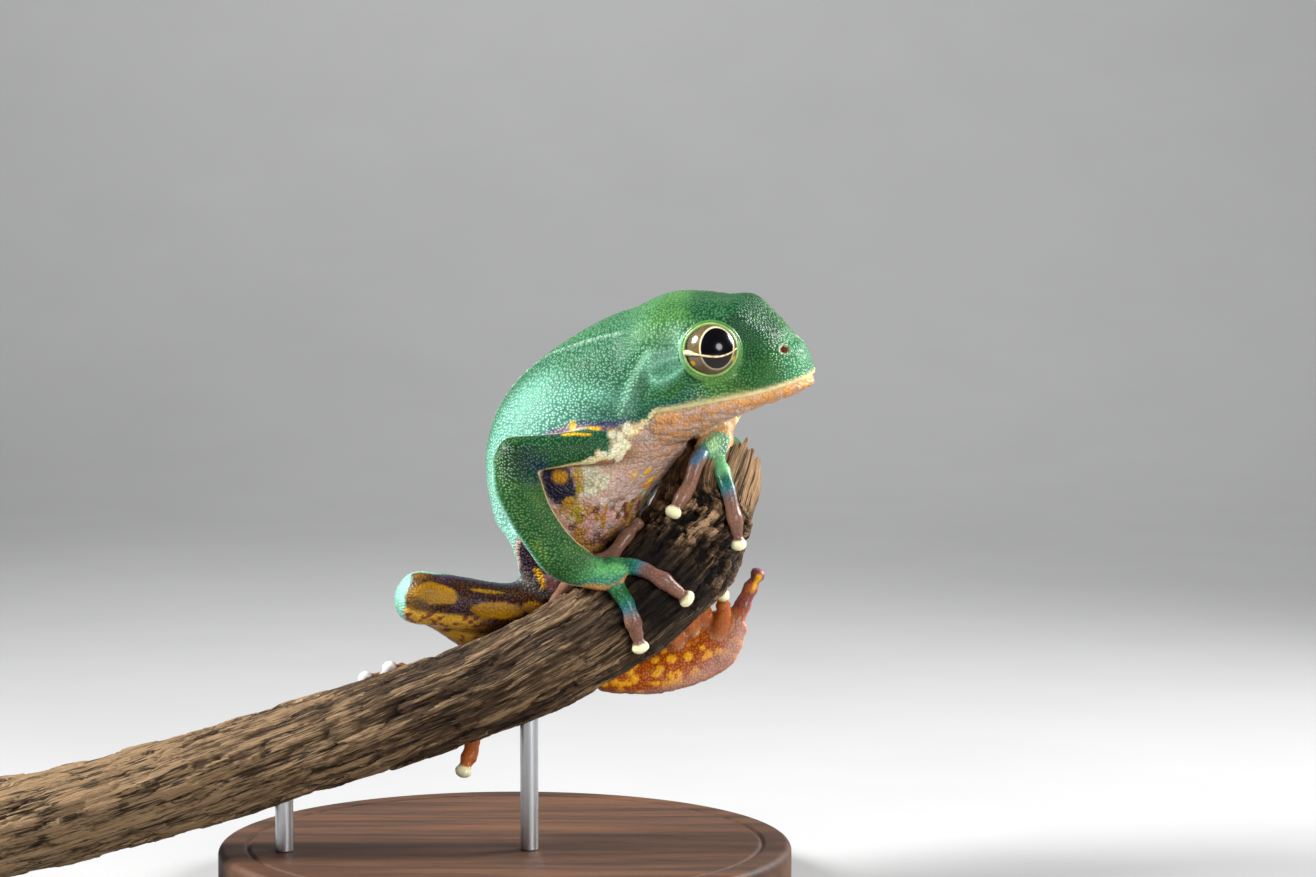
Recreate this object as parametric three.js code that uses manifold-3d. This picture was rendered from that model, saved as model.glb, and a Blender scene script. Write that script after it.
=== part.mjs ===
// A life-size white-lined leaf frog, a large adult female. It sits behind a bent branch with its belly
// to the bark, grips the torn end with its hands and feet, and turns its head along the branch.
// A turned wooden base and two steel rods hold the branch. Millimetres, +Z up; the origin is the centre
// of the base's underside. The frog is laid out in its own frame, 71 mm higher, with X to its right-hand
// side of the scene, Y away from the viewer and Z up, and the whole figure is then set on the stand.
import * as THREE from 'three';
import { mergeVertices } from 'three/addons/utils/BufferGeometryUtils.js';
import Module from 'manifold-3d';

const wasm = await Module();
wasm.setup();

// ---------------------------------------------------------------- driving dimensions
const gap = 0.3; // clearance between pieces that touch

const baseRadius = 45;
const baseThickness = 7;
const baseChamfer = 1.2;
const rodRadius = 1.4;
const figureHeight = 71; // from the underside of the base up to the frog's own origin
const figureShift = [24, -4, figureHeight];
const nearRodTop = [-20.0, -3.1, -35.8]; // on the branch's axis, in the figure's frame
const farRodTop = [-58.0, -4.3, -48.6];

const eyeRadius = 4.3;
const eyeSpread = 8.5; // from the middle of the head out to the centre of each eyeball
const eyeDrop = -0.2;
const lidThickness = 0.5;
const lidOpening = 4.0; // radius of the round opening between the lids, halfway along its cutter
const lidFlare = 0.8; // how much wider the cutter is at its outer end, and narrower at its inner end
const lidCutterLength = 8;
const mouthLevel = -8.3; // height of the mouth line under the eyes, in the head's own frame
const mouthSlope = 0.02; // how much it climbs towards the snout
const lipRadius = 0.42;
const lipReach = 0.86; // how far back the lip runs from the snout, as a share of the head
const lipSink = 0.985; // where its middle lies, as a share of the way out to the skin
const nostril = { forward: 10.4, side: 3.9, up: -2.1, radius: 0.67 };

const digitWidth = 1.25;
const toeWidth = 1.35;
const discWidth = 1.5;

const splinterInset = 2.2; // from the bark in to the middle of each splinter's root
const splinterRoot = -3; // where a splinter starts, below the torn face

// ---------------------------------------------------------------- vectors and frames
const vec = (point) => new THREE.Vector3(...point);

// The head's own frame: its origin lies midway between the eyes.
const headOrigin = vec([10.9, 5.6, 15.6]);
const headForward = vec([0.927, -0.351, 0.131]).normalize();
const headLeft = vec([0.327, 0.929, 0.170]).normalize();
const headUp = vec([-0.182, -0.115, 0.977]).normalize();

/** A point of the head, given forward, to the left and up from midway between the eyes. */
function headPoint(forward, left, up) {
  return headOrigin.clone()
    .addScaledVector(headForward, forward)
    .addScaledVector(headLeft, left)
    .addScaledVector(headUp, up);
}

// ---------------------------------------------------------------- closed meshes
/** A BufferGeometry from points and triangles, with shared vertices. */
function geometryFrom(points, triangles) {
  const geometry = new THREE.BufferGeometry();
  geometry.setAttribute('position', new THREE.Float32BufferAttribute(points.flatMap((p) => p.toArray()), 3));
  geometry.setIndex(triangles);
  return geometry;
}

/** Keeps only the positions of a three.js geometry and joins its doubled vertices. */
function welded(geometry) {
  const plain = geometry.clone();
  for (const name of ['normal', 'uv']) {
    plain.deleteAttribute(name);
  }
  return mergeVertices(plain, 1e-4);
}

/** Rings of equal size joined into a closed skin, with a point at either end. */
function closedRings(rings, startPoint, endPoint) {
  const sides = rings[0].length;
  const points = [startPoint, ...rings.flat(), endPoint];
  const last = points.length - 1;
  const triangles = [];
  for (let side = 0; side < sides; side += 1) {
    const next = (side + 1) % sides;
    triangles.push(0, 1 + next, 1 + side);
    for (let ring = 0; ring + 1 < rings.length; ring += 1) {
      const low = 1 + ring * sides;
      const high = low + sides;
      triangles.push(low + side, low + next, high + side);
      triangles.push(low + next, high + next, high + side);
    }
    const top = last - sides;
    triangles.push(last, top + side, top + next);
  }
  return geometryFrom(points, triangles);
}

/** One corner of a rounded section: power 2 is an ellipse, and more is boxier. */
function sectionPoint(angle, size, power = 2) {
  const cosine = Math.cos(angle);
  const sine = Math.sin(angle);
  const height = sine > 0 ? size.y : size.z;
  const across = Math.sign(cosine) * Math.abs(cosine) ** (2 / power);
  const upward = Math.sign(sine) * Math.abs(sine) ** (2 / power);
  return [size.x * across, height * upward];
}

/**
 * A limb, trunk or digit: a smooth body through stations [x, y, z, half-width, height, depth],
 * where height lies along `up` and depth against it. `up` is one direction or one for each station.
 * Its ends are domes, `domes` times as long as the section's mean radius.
 */
function sweep(stations, up, { sides = 12, steps = 2, domes = [0.9, 0.9], caps = [0.45, 0.8] } = {}) {
  const ups = Array.isArray(up[0]) ? up : stations.map(() => up);
  const curveOf = (points) => new THREE.CatmullRomCurve3(points, false, 'catmullrom', 0.5);
  const path = curveOf(stations.map((s) => vec(s.slice(0, 3))));
  const sizes = curveOf(stations.map((s) => vec(s.slice(3, 6))));
  const upward = curveOf(ups.map(vec));
  const count = (stations.length - 1) * steps;
  const rings = [];

  const addRing = (t, along, scale) => {
    const tangent = path.getTangent(t);
    const centre = path.getPoint(t).addScaledVector(tangent, along);
    const side = upward.getPoint(t).cross(tangent).normalize();
    const top = tangent.clone().cross(side);
    const size = sizes.getPoint(t).multiplyScalar(scale);
    rings.push(Array.from({ length: sides }, (_, i) => {
      const [x, y] = sectionPoint((2 * Math.PI * i) / sides, size);
      return centre.clone().addScaledVector(side, x).addScaledVector(top, y);
    }));
  };
  const domeLength = (t, factor) => {
    const size = sizes.getPoint(t);
    return (factor * (2 * size.x + size.y + size.z)) / 4;
  };
  const startDome = domeLength(0, domes[0]);
  const endDome = domeLength(1, domes[1]);
  for (const part of [...caps].reverse()) {
    addRing(0, -startDome * part, Math.sqrt(1 - part * part));
  }
  for (let i = 0; i <= count; i += 1) {
    addRing(i / count, 0, 1);
  }
  for (const part of caps) {
    addRing(1, endDome * part, Math.sqrt(1 - part * part));
  }
  const start = path.getPoint(0).addScaledVector(path.getTangent(0), -startDome);
  const end = path.getPoint(1).addScaledVector(path.getTangent(1), endDome);
  return closedRings(rings, start, end);
}

/** A ball, or an egg with three radii along x, y and z. */
function ball(centre, radii, across = 20, down = 14) {
  const geometry = new THREE.SphereGeometry(1, across, down);
  geometry.scale(...radii);
  geometry.translate(centre.x, centre.y, centre.z);
  return welded(geometry);
}

/** The same skin moved out along its own normals. */
function grown(geometry, distance) {
  const copy = geometry.clone();
  copy.computeVertexNormals();
  const position = copy.getAttribute('position');
  const normal = copy.getAttribute('normal');
  for (let i = 0; i < position.count; i += 1) {
    const point = new THREE.Vector3().fromBufferAttribute(position, i);
    point.addScaledVector(new THREE.Vector3().fromBufferAttribute(normal, i), distance);
    position.setXYZ(i, point.x, point.y, point.z);
  }
  copy.deleteAttribute('normal');
  return copy;
}

// ---------------------------------------------------------------- solids
function solid(geometry) {
  const vertProperties = new Float32Array(geometry.getAttribute('position').array);
  const triVerts = new Uint32Array(geometry.getIndex().array);
  return new wasm.Manifold(new wasm.Mesh({ numProp: 3, vertProperties, triVerts }));
}

const joined = (geometries) => geometries.map(solid).reduce((whole, piece) => whole.add(piece));

/** The largest closed piece of a solid. */
function largest(whole) {
  return whole.decompose().reduce((best, piece) => (piece.volume() > best.volume() ? piece : best));
}

const figure = new THREE.Group();
figure.position.set(...figureShift);
const placed = [];

const meet = (a, b) => [0, 1, 2].every((i) => a.min[i] < b.max[i] && b.min[i] < a.max[i]);

/** Adds a mesh, keeping it clear of every piece placed before it. */
function place(name, geometries, colour, { cuts = [], keep = null, reserve = true } = {}) {
  let body = cuts.reduce((rest, cut) => rest.subtract(cut), joined(geometries));
  body = keep ? body.intersect(keep) : body;
  for (const other of placed) {
    if (meet(body.boundingBox(), other.boundingBox())) {
      body = body.subtract(other);
    }
  }
  const { vertProperties, triVerts } = largest(body).getMesh();
  const geometry = new THREE.BufferGeometry();
  geometry.setAttribute('position', new THREE.BufferAttribute(vertProperties, 3));
  geometry.setIndex(new THREE.BufferAttribute(triVerts, 1));
  geometry.computeVertexNormals();
  const mesh = new THREE.Mesh(geometry, new THREE.MeshStandardMaterial({ color: colour }));
  mesh.name = name;
  figure.add(mesh);
  if (reserve) {
    placed.push(joined(geometries.map((piece) => grown(piece, gap))));
  }
  return mesh;
}

const green = 0x2f9a5f;
const paleGreen = 0x8fd0a8;
const throatPink = 0xb98a7a;
const thighBrown = 0x7a4a3a;
const footOrange = 0xd98a3a;
const eyeDark = 0x2a2620;
const barkBrown = 0x5a4636;
const woodDark = 0x2b2119;
const steelGrey = 0xb8bcc0;

// ---------------------------------------------------------------- branch
// Stations along the branch's axis, from the cut end to the torn end: [x, y, z, radius].
const branchAxis = [
  [-104.2, -5.3, -60.7, 7.4],
  [-86.5, -5.0, -56.7, 7.3],
  [-71.0, -4.6, -52.6, 7.1],
  [-55.5, -4.2, -47.9, 7.1],
  [-40.0, -3.8, -43.0, 7.3],
  [-24.5, -3.3, -37.6, 7.2],
  [-15.2, -2.9, -33.1, 7.3],
  [-7.5, -1.5, -28.8, 7.6],
  [-0.5, 1.0, -23.3, 8.0],
  [4.9, 4.5, -17.1, 8.3],
  [7.2, 7.6, -11.5, 8.0],
  [9.3, 9.6, -6.9, 7.6],
];
const branchCurve = new THREE.CatmullRomCurve3(branchAxis.map((s) => vec(s)), false, 'catmullrom', 0.5);
const branchRadii = new THREE.CatmullRomCurve3(
  branchAxis.map((s) => new THREE.Vector3(s[3], 0, 0)), false, 'catmullrom', 0.5);

/** The branch's radius: two slow swellings that wind round it, and seven low ridges along it. */
function barkRadius(t, angle) {
  const swelling = 0.16 * Math.sin(23 * t + 2 * angle) + 0.12 * Math.sin(41 * t - 3 * angle);
  const ridges = 0.1 * Math.sin(7 * angle + 9 * t);
  return branchRadii.getPoint(t).x + swelling + ridges;
}

/** The nearest place on the branch's axis to a point, as its t along the curve. */
function nearestOnBranch(point) {
  let best = 0;
  let nearest = Infinity;
  for (let i = 0; i <= 240; i += 1) {
    const distance = branchCurve.getPoint(i / 240).distanceTo(point);
    if (distance < nearest) {
      nearest = distance;
      best = i / 240;
    }
  }
  return best;
}

/** Sets a point on the bark, with its middle `lift` above it. */
function onBark(point, lift) {
  const t = nearestOnBranch(vec(point));
  const axis = branchCurve.getPoint(t);
  const outward = vec(point).sub(axis).normalize();
  return axis.addScaledVector(outward, branchRadii.getPoint(t).x + lift).toArray();
}

/** Which way is out from the branch's axis at a point. */
function outFromBranch(point) {
  return vec(point).sub(branchCurve.getPoint(nearestOnBranch(vec(point)))).normalize().toArray();
}

/** The branch's rounded bark, with a flat saw cut at its far end. */
function branchBark() {
  const sides = 16;
  const steps = 26;
  const rings = [];
  for (let i = 0; i <= steps; i += 1) {
    const t = i / steps;
    const centre = branchCurve.getPoint(t);
    const tangent = branchCurve.getTangent(t);
    const side = new THREE.Vector3(0, 0, 1).cross(tangent).normalize();
    const top = tangent.clone().cross(side);
    rings.push(Array.from({ length: sides }, (_, k) => {
      const angle = (2 * Math.PI * k) / sides;
      return centre.clone()
        .addScaledVector(side, barkRadius(t, angle) * Math.cos(angle))
        .addScaledVector(top, barkRadius(t, angle) * Math.sin(angle));
    }));
  }
  return closedRings(rings, branchCurve.getPoint(0), branchCurve.getPoint(1));
}

/** Splinters of torn wood round the broken end: [angle, length, width at its root]. */
function branchSplinters() {
  const splinters = [
    [0.2, 2.4, 2.8], [1.0, 1.8, 2.9], [1.8, 1.4, 2.9], [2.75, 6.0, 1.9],
    [3.4, 3.8, 2.8], [4.0, 3.2, 2.8], [4.8, 2.0, 2.8], [5.5, 3.0, 2.7],
  ];
  const centre = branchCurve.getPoint(1);
  const tangent = branchCurve.getTangent(1);
  const side = new THREE.Vector3(0, 0, 1).cross(tangent).normalize();
  const top = tangent.clone().cross(side);
  const radius = branchRadii.getPoint(1).x - splinterInset;
  return splinters.map(([angle, length, width]) => {
    const foot = centre.clone()
      .addScaledVector(side, radius * Math.cos(angle))
      .addScaledVector(top, radius * Math.sin(angle));
    const station = (along, half) => {
      const point = foot.clone().addScaledVector(tangent, along).toArray();
      return [...point, half, half * 0.8, half * 0.8];
    };
    const stations = [station(splinterRoot, width), station(0, width * 0.8), station(length, 0.35)];
    return sweep(stations, top.toArray(), { sides: 6, steps: 2, domes: [0.5, 0.8] });
  });
}

// ---------------------------------------------------------------- head
// Sections from nape to snout: [forward, centre height, half-width, height above, depth below, boxiness].
const headSections = [
  [-13.0, -5.0, 13.2, 12.2, 11.2, 2.5],
  [-9.0, -5.2, 13.2, 12.8, 10.2, 2.6],
  [-4.5, -5.6, 12.6, 12.7, 7.9, 2.7],
  [0.0, -6.0, 11.8, 12.2, 6.2, 2.6],
  [4.0, -6.4, 10.4, 12.0, 4.7, 2.9],
  [7.5, -6.8, 8.4, 9.0, 3.7, 2.5],
  [10.2, -7.0, 6.0, 7.0, 3.0, 2.2],
  [12.2, -7.0, 3.8, 4.6, 2.5, 2.0],
  [13.1, -7.0, 1.8, 2.3, 1.7, 2.0],
];
const headCurves = [0, 3].map((first) => new THREE.CatmullRomCurve3(
  headSections.map((s) => vec(s.slice(first, first + 3))), false, 'catmullrom', 0.5));

/** A point of the head's skin: t runs from nape to snout and the angle goes round the section. */
function headSkin(t, angle, scale = 1) {
  const { x: forward, y: centre, z: width } = headCurves[0].getPoint(t);
  const { x: high, y: deep, z: power } = headCurves[1].getPoint(t);
  const [left, up] = sectionPoint(angle, new THREE.Vector3(width, high, deep), power);
  return headPoint(forward, left * scale, centre + up * scale);
}

/** The whole head, before the mouth parts it. */
function headWhole() {
  const sides = 28;
  const steps = 20;
  const ring = (t, scale) => Array.from({ length: sides }, (_, i) => (
    headSkin(t, (2 * Math.PI * i) / sides, scale)));
  const rings = [];
  for (let i = 0; i <= steps; i += 1) {
    rings.push(ring(i / steps, 1));
  }
  const tip = headPoint(headSections.at(-1)[0] + 0.35, 0, -6.9);
  const nape = headPoint(headSections[0][0] - 1, 0, -5);
  return closedRings([ring(0, 0.6), ...rings], nape, tip);
}

/** Everything above the mouth line, or below it where `side` is -1, short of it by half the gap. */
function mouthBlock(side) {
  const far = 60;
  const block = new THREE.BoxGeometry(far, far, far);
  block.translate(0, side * (far / 2 + gap / 2), 0);
  block.rotateZ(Math.atan(mouthSlope));
  block.translate(0, mouthLevel, 0);
  const frame = new THREE.Matrix4().makeBasis(headForward, headUp, headLeft.clone().negate());
  block.applyMatrix4(frame.setPosition(headOrigin));
  return solid(welded(block));
}

/** The lip: a thin roll along the upper jaw, just above the mouth line. */
function lip() {
  const points = [];
  const half = 14;
  for (let i = -half; i <= half; i += 1) {
    const around = i / half;
    const t = 1 - Math.abs(around) * lipReach;
    const { y: centre } = headCurves[0].getPoint(t);
    const { x: high, z: power } = headCurves[1].getPoint(t);
    const { x: forward } = headCurves[0].getPoint(t);
    const level = (mouthLevel + mouthSlope * forward + gap / 2 + lipRadius * 0.8 - centre) / high;
    const rise = Math.asin(Math.sign(level) * Math.abs(level) ** (power / 2));
    points.push(headSkin(t, around < 0 ? rise : Math.PI - rise, lipSink));
  }
  const stations = points.map((p) => [...p.toArray(), lipRadius, lipRadius, lipRadius]);
  return sweep(stations, headUp.toArray(), { sides: 6, steps: 1 });
}

const eyeCentre = (side) => headPoint(0, side * eyeSpread, eyeDrop);
const eyeAxis = (side) => headPoint(0.34, side * 0.92, 0.16).sub(headOrigin).normalize();

/** A lid's shell round an eyeball. */
const lidShell = (side) => ball(eyeCentre(side), Array(3).fill(eyeRadius + gap + lidThickness), 20, 12);

/** The round opening between the lids. */
function lidWindow(side) {
  const tool = new THREE.CylinderGeometry(lidOpening + lidFlare, lidOpening - lidFlare, lidCutterLength, 24);
  const turn = new THREE.Quaternion().setFromUnitVectors(new THREE.Vector3(0, 1, 0), eyeAxis(side));
  tool.applyQuaternion(turn);
  const centre = eyeCentre(side).addScaledVector(eyeAxis(side), lidCutterLength / 2);
  tool.translate(centre.x, centre.y, centre.z);
  return solid(welded(tool));
}

/** The nostril pits on both sides of the snout. */
function nostrilPits() {
  return [-1, 1].map((side) => {
    const pit = headPoint(nostril.forward, side * nostril.side, nostril.up);
    return solid(ball(pit, Array(3).fill(nostril.radius), 8, 6));
  });
}

// ---------------------------------------------------------------- trunk
function trunk() {
  const stations = [
    [6.3, 8.3, 9.7, 10.4, 9.6, 8.2],
    [-0.2, 10.9, 8.4, 13.0, 12.0, 11.2],
    [-6.4, 12.2, 3.2, 14.3, 14.0, 12.4],
    [-12.0, 11.8, -3.0, 14.9, 14.6, 12.4],
    [-13.8, 11.2, -9.2, 14.1, 12.5, 11.8],
    [-13.0, 11.2, -15.4, 11.9, 10.4, 9.6],
    [-13.6, 11.4, -20.6, 9.6, 8.7, 7.2],
    [-15.1, 12.0, -25.5, 7.0, 6.6, 5.4],
    [-15.3, 12.1, -29.4, 3.6, 3.6, 3.4],
  ];
  const backward = [
    [-0.18, -0.11, 0.98], [-0.20, -0.05, 0.98], [-0.58, 0.46, 0.67], [-0.66, 0.67, 0.32],
    [-0.70, 0.71, 0.01], [-0.57, 0.82, -0.07], [-0.50, 0.86, -0.08], [-0.45, 0.89, -0.08],
    [-0.45, 0.89, -0.08],
  ];
  return sweep(stations, backward, { sides: 26, steps: 2, domes: [0.2, 0.8] });
}

// ---------------------------------------------------------------- limbs
const towardViewer = [0, -1, 0];

/** A limb's stretch through [x, y, z, radius] stations, with round sections. */
const limb = (stations) => sweep(stations.map(([x, y, z, r]) => [x, y, z, r, r, r]), towardViewer);

/**
 * A finger or toe: free points first, then points laid on the bark, and a flat disc at its tip.
 * It thins a little towards the disc.
 */
function digit(free, resting, thickness) {
  const laid = resting.map((point) => onBark(point, thickness * 0.75));
  const path = [...free, ...laid];
  const stations = path.map((point, i) => {
    const half = thickness * (1.12 - (0.3 * i) / (path.length - 1));
    return [...point, half, half * 0.9, half * 0.9];
  });
  const tip = vec(path.at(-1));
  const onward = tip.clone().sub(vec(path.at(-2))).normalize();
  const disc = (along, half) => {
    const point = tip.clone().addScaledVector(onward, along).toArray();
    return [...point, half, half * 0.72, half * 0.72];
  };
  stations.push(disc(0.9, thickness * 0.84), disc(1.9, discWidth));
  const ups = stations.map((s) => outFromBranch(s.slice(0, 3)));
  return sweep(stations, ups, { sides: 7, steps: 1, domes: [0.6, 0.75], caps: [0.7] });
}

/** A palm or sole: flat stations [x, y, z, half-width, half-thickness] facing one way. */
const pad = (stations, up) => sweep(
  stations.map(([x, y, z, wide, thick]) => [x, y, z, wide, thick, thick]), up);

// ---------------------------------------------------------------- the frog
const headRoots = [headWhole(), lidShell(-1), lidShell(1)];
const pairs = { right: -1, left: 1 };
for (const [name, side] of Object.entries(pairs)) {
  place(`eye_${name}`, [ball(eyeCentre(side), Array(3).fill(eyeRadius), 20, 12)], eyeDark);
}
place('head', [...headRoots, lip()], green, {
  cuts: [lidWindow(-1), lidWindow(1), ...nostrilPits()],
  keep: mouthBlock(1),
  reserve: false,
});
place('lower_jaw', [headRoots[0]], throatPink, { keep: mouthBlock(-1), reserve: false });
placed.push(joined(headRoots.map((piece) => grown(piece, gap))));

place('perch_branch', [branchBark(), ...branchSplinters()], barkBrown);
place('torso', [trunk()], paleGreen);

// Each stretch of a limb is a row of [x, y, z, radius]. A palm or sole is a row of [x, y, z, half-width,
// half-thickness] that faces one way. A digit is its free points, then the points where it rests on bark.
const arms = {
  right: {
    upper: [
      [-3.2, 6.2, -0.6, 4.0], [-8.8, 0.2, -1.0, 3.2], [-15.1, -3.6, -1.5, 2.65], [-22.2, -4.8, -2.3, 3.0],
    ],
    fore: [
      [-22.6, -4.8, -3.1, 3.0], [-21.7, -5.1, -6.5, 3.75], [-20.0, -5.5, -10.6, 3.45],
      [-17.5, -5.8, -14.6, 3.3], [-15.1, -6.1, -17.6, 3.4], [-12.6, -6.2, -19.2, 3.1],
    ],
  },
  left: {
    upper: [[1.0, 17.0, 1.0, 3.2], [3.6, 21.5, 2.2, 3.0], [6.6, 26.6, 3.2, 2.7], [9.6, 31.0, 3.9, 2.9]],
    fore: [
      [10.2, 31.2, 3.8, 3.0], [10.6, 27.0, 3.6, 3.3], [10.5, 20.6, 3.0, 3.0],
      [10.1, 14.0, 1.9, 2.5], [9.6, 8.8, 0.7, 2.2],
    ],
  },
};
const hands = {
  right: {
    palm: [[-12.2, -6.3, -19.6, 2.8, 2.4], [-8.8, -6.7, -20.3, 3.0, 1.8], [-6.6, -7.2, -20.2, 2.8, 1.4]],
    facing: [0.2, -0.7, 0.68],
    digits: [
      {
        free: [[-7.6, -6.2, -18.9]],
        resting: [[-4.3, -7.1, -18.6], [-1.8, -7.9, -19.4], [0.8, -7.9, -21.1], [2.9, -7.0, -23.0]],
      },
      {
        free: [[-7.4, -7.3, -21.0]],
        resting: [[-6.0, -9.0, -22.5], [-4.7, -9.7, -24.4], [-3.7, -10.0, -27.2], [-3.1, -9.3, -29.6]],
      },
      {
        free: [[-10.2, -4.6, -18.9]],
        resting: [[-8.1, -2.6, -17.4], [-5.9, -0.8, -15.9], [-4.2, 0.2, -15.0]],
      },
      {
        free: [[-12.2, -3.4, -20.6]],
        resting: [[-14.0, -0.6, -23.4], [-15.4, 1.6, -25.0], [-16.4, 3.2, -27.4]],
      },
    ],
  },
  left: {
    palm: [[9.7, 8.6, 0.5, 2.2, 2.0], [9.1, 6.4, -0.9, 2.8, 1.8], [8.4, 4.6, -2.2, 2.8, 1.4]],
    facing: [0.1, -0.35, 0.93],
    digits: [
      { free: [[7.6, 5.0, -2.3], [6.2, 2.0, -3.4]], resting: [[5.0, 0.4, -7.4], [3.6, -0.5, -10.4]] },
      {
        free: [[9.3, 4.4, -3.0], [10.0, 2.2, -5.5]],
        resting: [[10.6, 1.0, -8.5], [11.4, -0.2, -12.5], [11.8, -0.6, -14.6]],
      },
      { free: [[8.0, 7.4, -1.4]], resting: [[7.1, 13.6, -4.9], [7.2, 17.4, -8.2], [7.7, 18.1, -10.2]] },
      {
        free: [[9.8, 8.0, -1.4]],
        resting: [[10.8, 13.1, -4.9], [11.9, 15.3, -8.8], [11.9, 15.5, -11.5]],
      },
    ],
  },
};
const legs = {
  right: {
    thigh: [
      [-14.0, 10.8, -26.6, 5.0], [-18.5, 9.3, -27.1, 5.0], [-25.0, 7.2, -26.8, 4.6],
      [-32.0, 5.0, -26.1, 4.3], [-37.4, 3.8, -25.4, 3.8],
    ],
    shank: [
      [-37.8, 4.4, -25.6, 3.6], [-34.4, 7.0, -27.2, 3.5], [-28.8, 9.4, -31.2, 3.5],
      [-22.9, 10.8, -35.4, 3.0], [-18.0, 11.6, -37.9, 2.6],
    ],
    sole: [
      [-18.2, 11.6, -38.9, 2.6, 2.4], [-22.6, 11.5, -40.3, 2.5, 2.2], [-27.0, 10.6, -41.3, 2.8, 1.9],
      [-31.4, 9.4, -42.2, 3.6, 1.7], [-35.0, 8.0, -42.6, 3.2, 1.4],
    ],
    facing: [0.1, 0.95, 0.1],
    toes: [
      {
        free: [[-34.0, 7.6, -40.8]],
        resting: [[-37.6, 5.0, -37.7], [-39.8, 3.0, -36.3], [-40.7, 2.2, -36.0]],
      },
      {
        free: [[-35.0, 7.4, -41.6]],
        resting: [[-39.6, 5.1, -39.2], [-42.6, 3.2, -38.0], [-44.3, 2.4, -37.5]],
      },
      {
        free: [[-33.0, 7.6, -44.4], [-29.6, 6.8, -46.8], [-29.4, 5.2, -49.6], [-30.0, 4.4, -51.2]],
        resting: [],
      },
      {
        free: [[-35.4, 7.6, -43.0]],
        resting: [[-39.5, 7.2, -44.0], [-42.5, 5.9, -44.6], [-44.6, 5.1, -45.0]],
      },
      {
        free: [[-34.4, 7.6, -43.8]],
        resting: [[-37.0, 6.9, -46.8], [-39.2, 5.3, -48.9], [-40.6, 3.6, -50.0]],
      },
    ],
  },
  left: {
    thigh: [
      [-12.6, 13.2, -26.8, 5.0], [-9.0, 16.6, -27.4, 5.0], [-4.0, 20.6, -26.6, 4.6],
      [1.4, 25.0, -24.8, 4.2], [5.4, 27.6, -23.4, 3.6],
    ],
    shank: [
      [6.0, 27.2, -24.4, 3.6], [4.4, 24.6, -27.6, 3.7], [0.3, 19.3, -31.8, 3.5],
      [-4.1, 14.4, -35.6, 3.0], [-7.4, 11.2, -38.0, 2.6],
    ],
    sole: [
      [-8.0, 10.2, -38.6, 2.6, 2.4], [-4.1, 9.7, -38.8, 2.6, 2.3], [0.3, 9.8, -38.2, 3.1, 2.1],
      [5.0, 10.5, -35.8, 4.4, 1.9], [8.7, 11.3, -33.2, 4.8, 1.7], [11.5, 12.0, -30.4, 3.1, 1.4],
    ],
    facing: [0.2, 0.95, -0.2],
    toes: [
      { free: [[9.4, 10.8, -32.0], [10.4, 10.2, -28.6], [10.3, 9.8, -27.4]], resting: [] },
      {
        free: [[11.7, 11.9, -31.4], [13.4, 12.5, -27.8], [14.4, 12.7, -25.6], [15.0, 12.6, -24.4]],
        resting: [],
      },
      {
        free: [[8.2, 12.2, -32.4]],
        resting: [[7.4, 15.2, -28.2], [6.8, 16.6, -24.8], [6.6, 17.4, -22.6]],
      },
      {
        free: [[6.2, 12.0, -34.4]],
        resting: [[4.4, 14.0, -29.4], [3.0, 14.8, -26.0], [2.2, 15.0, -24.0]],
      },
      {
        free: [[4.2, 11.6, -35.6]],
        resting: [[1.2, 12.0, -32.2], [-1.2, 11.6, -29.8], [-2.8, 11.2, -28.4]],
      },
    ],
  },
};
for (const name of Object.keys(pairs)) {
  place(`upper_arm_${name}`, [limb(arms[name].upper)], green);
  place(`forearm_${name}`, [limb(arms[name].fore)], green);
  const { palm, facing, digits } = hands[name];
  const fingers = digits.map(({ free, resting }) => digit(free, resting, digitWidth));
  place(`hand_${name}`, [pad(palm, facing), ...fingers], green);
}
for (const name of Object.keys(pairs)) {
  const { thigh, shank, sole, facing, toes } = legs[name];
  const toeSolids = toes.map(({ free, resting }) => digit(free, resting, toeWidth));
  place(`thigh_${name}`, [limb(thigh)], thighBrown);
  place(`shank_${name}`, [limb(shank)], thighBrown);
  place(`foot_${name}`, [pad(sole, facing), ...toeSolids], footOrange);
}

// ---------------------------------------------------------------- stand
/** A turned disc with a chamfered top edge. */
function base() {
  const inner = baseRadius - baseChamfer;
  const profile = [
    [0, 0], [inner, 0], [baseRadius, baseChamfer], [baseRadius, baseThickness - baseChamfer],
    [inner, baseThickness], [0, baseThickness],
  ].map(([x, y]) => new THREE.Vector2(x, y));
  const disc = new THREE.LatheGeometry(profile, 48);
  disc.rotateX(Math.PI / 2);
  disc.translate(...figureShift.map((shift) => -shift));
  return welded(disc);
}

/** A rod from the base up into the bark over one point of the branch's axis. */
function rod([x, y, z]) {
  const floor = baseThickness - figureHeight + gap;
  const height = z - floor;
  const post = new THREE.CylinderGeometry(rodRadius, rodRadius, height, 16);
  post.rotateX(Math.PI / 2);
  post.translate(x, y, floor + height / 2);
  return welded(post);
}

place('stand_base', [base()], woodDark);
place('stand_rod_near', [rod(nearRodTop)], steelGrey);
place('stand_rod_far', [rod(farRodTop)], steelGrey);

export default figure;
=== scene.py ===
# %% [markdown]
# # A white-lined leaf frog on a bent branch
# This script dresses a packed set of solids as a museum's still model: one skin over the whole frog,
# glossy eyes, a fissured branch with a torn end, and a turned stand. It is laid out as a lesson. Each
# step says what the thing is on the real object, how it could be made, and why it is made this way.

# %% Load the solids
import math

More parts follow.
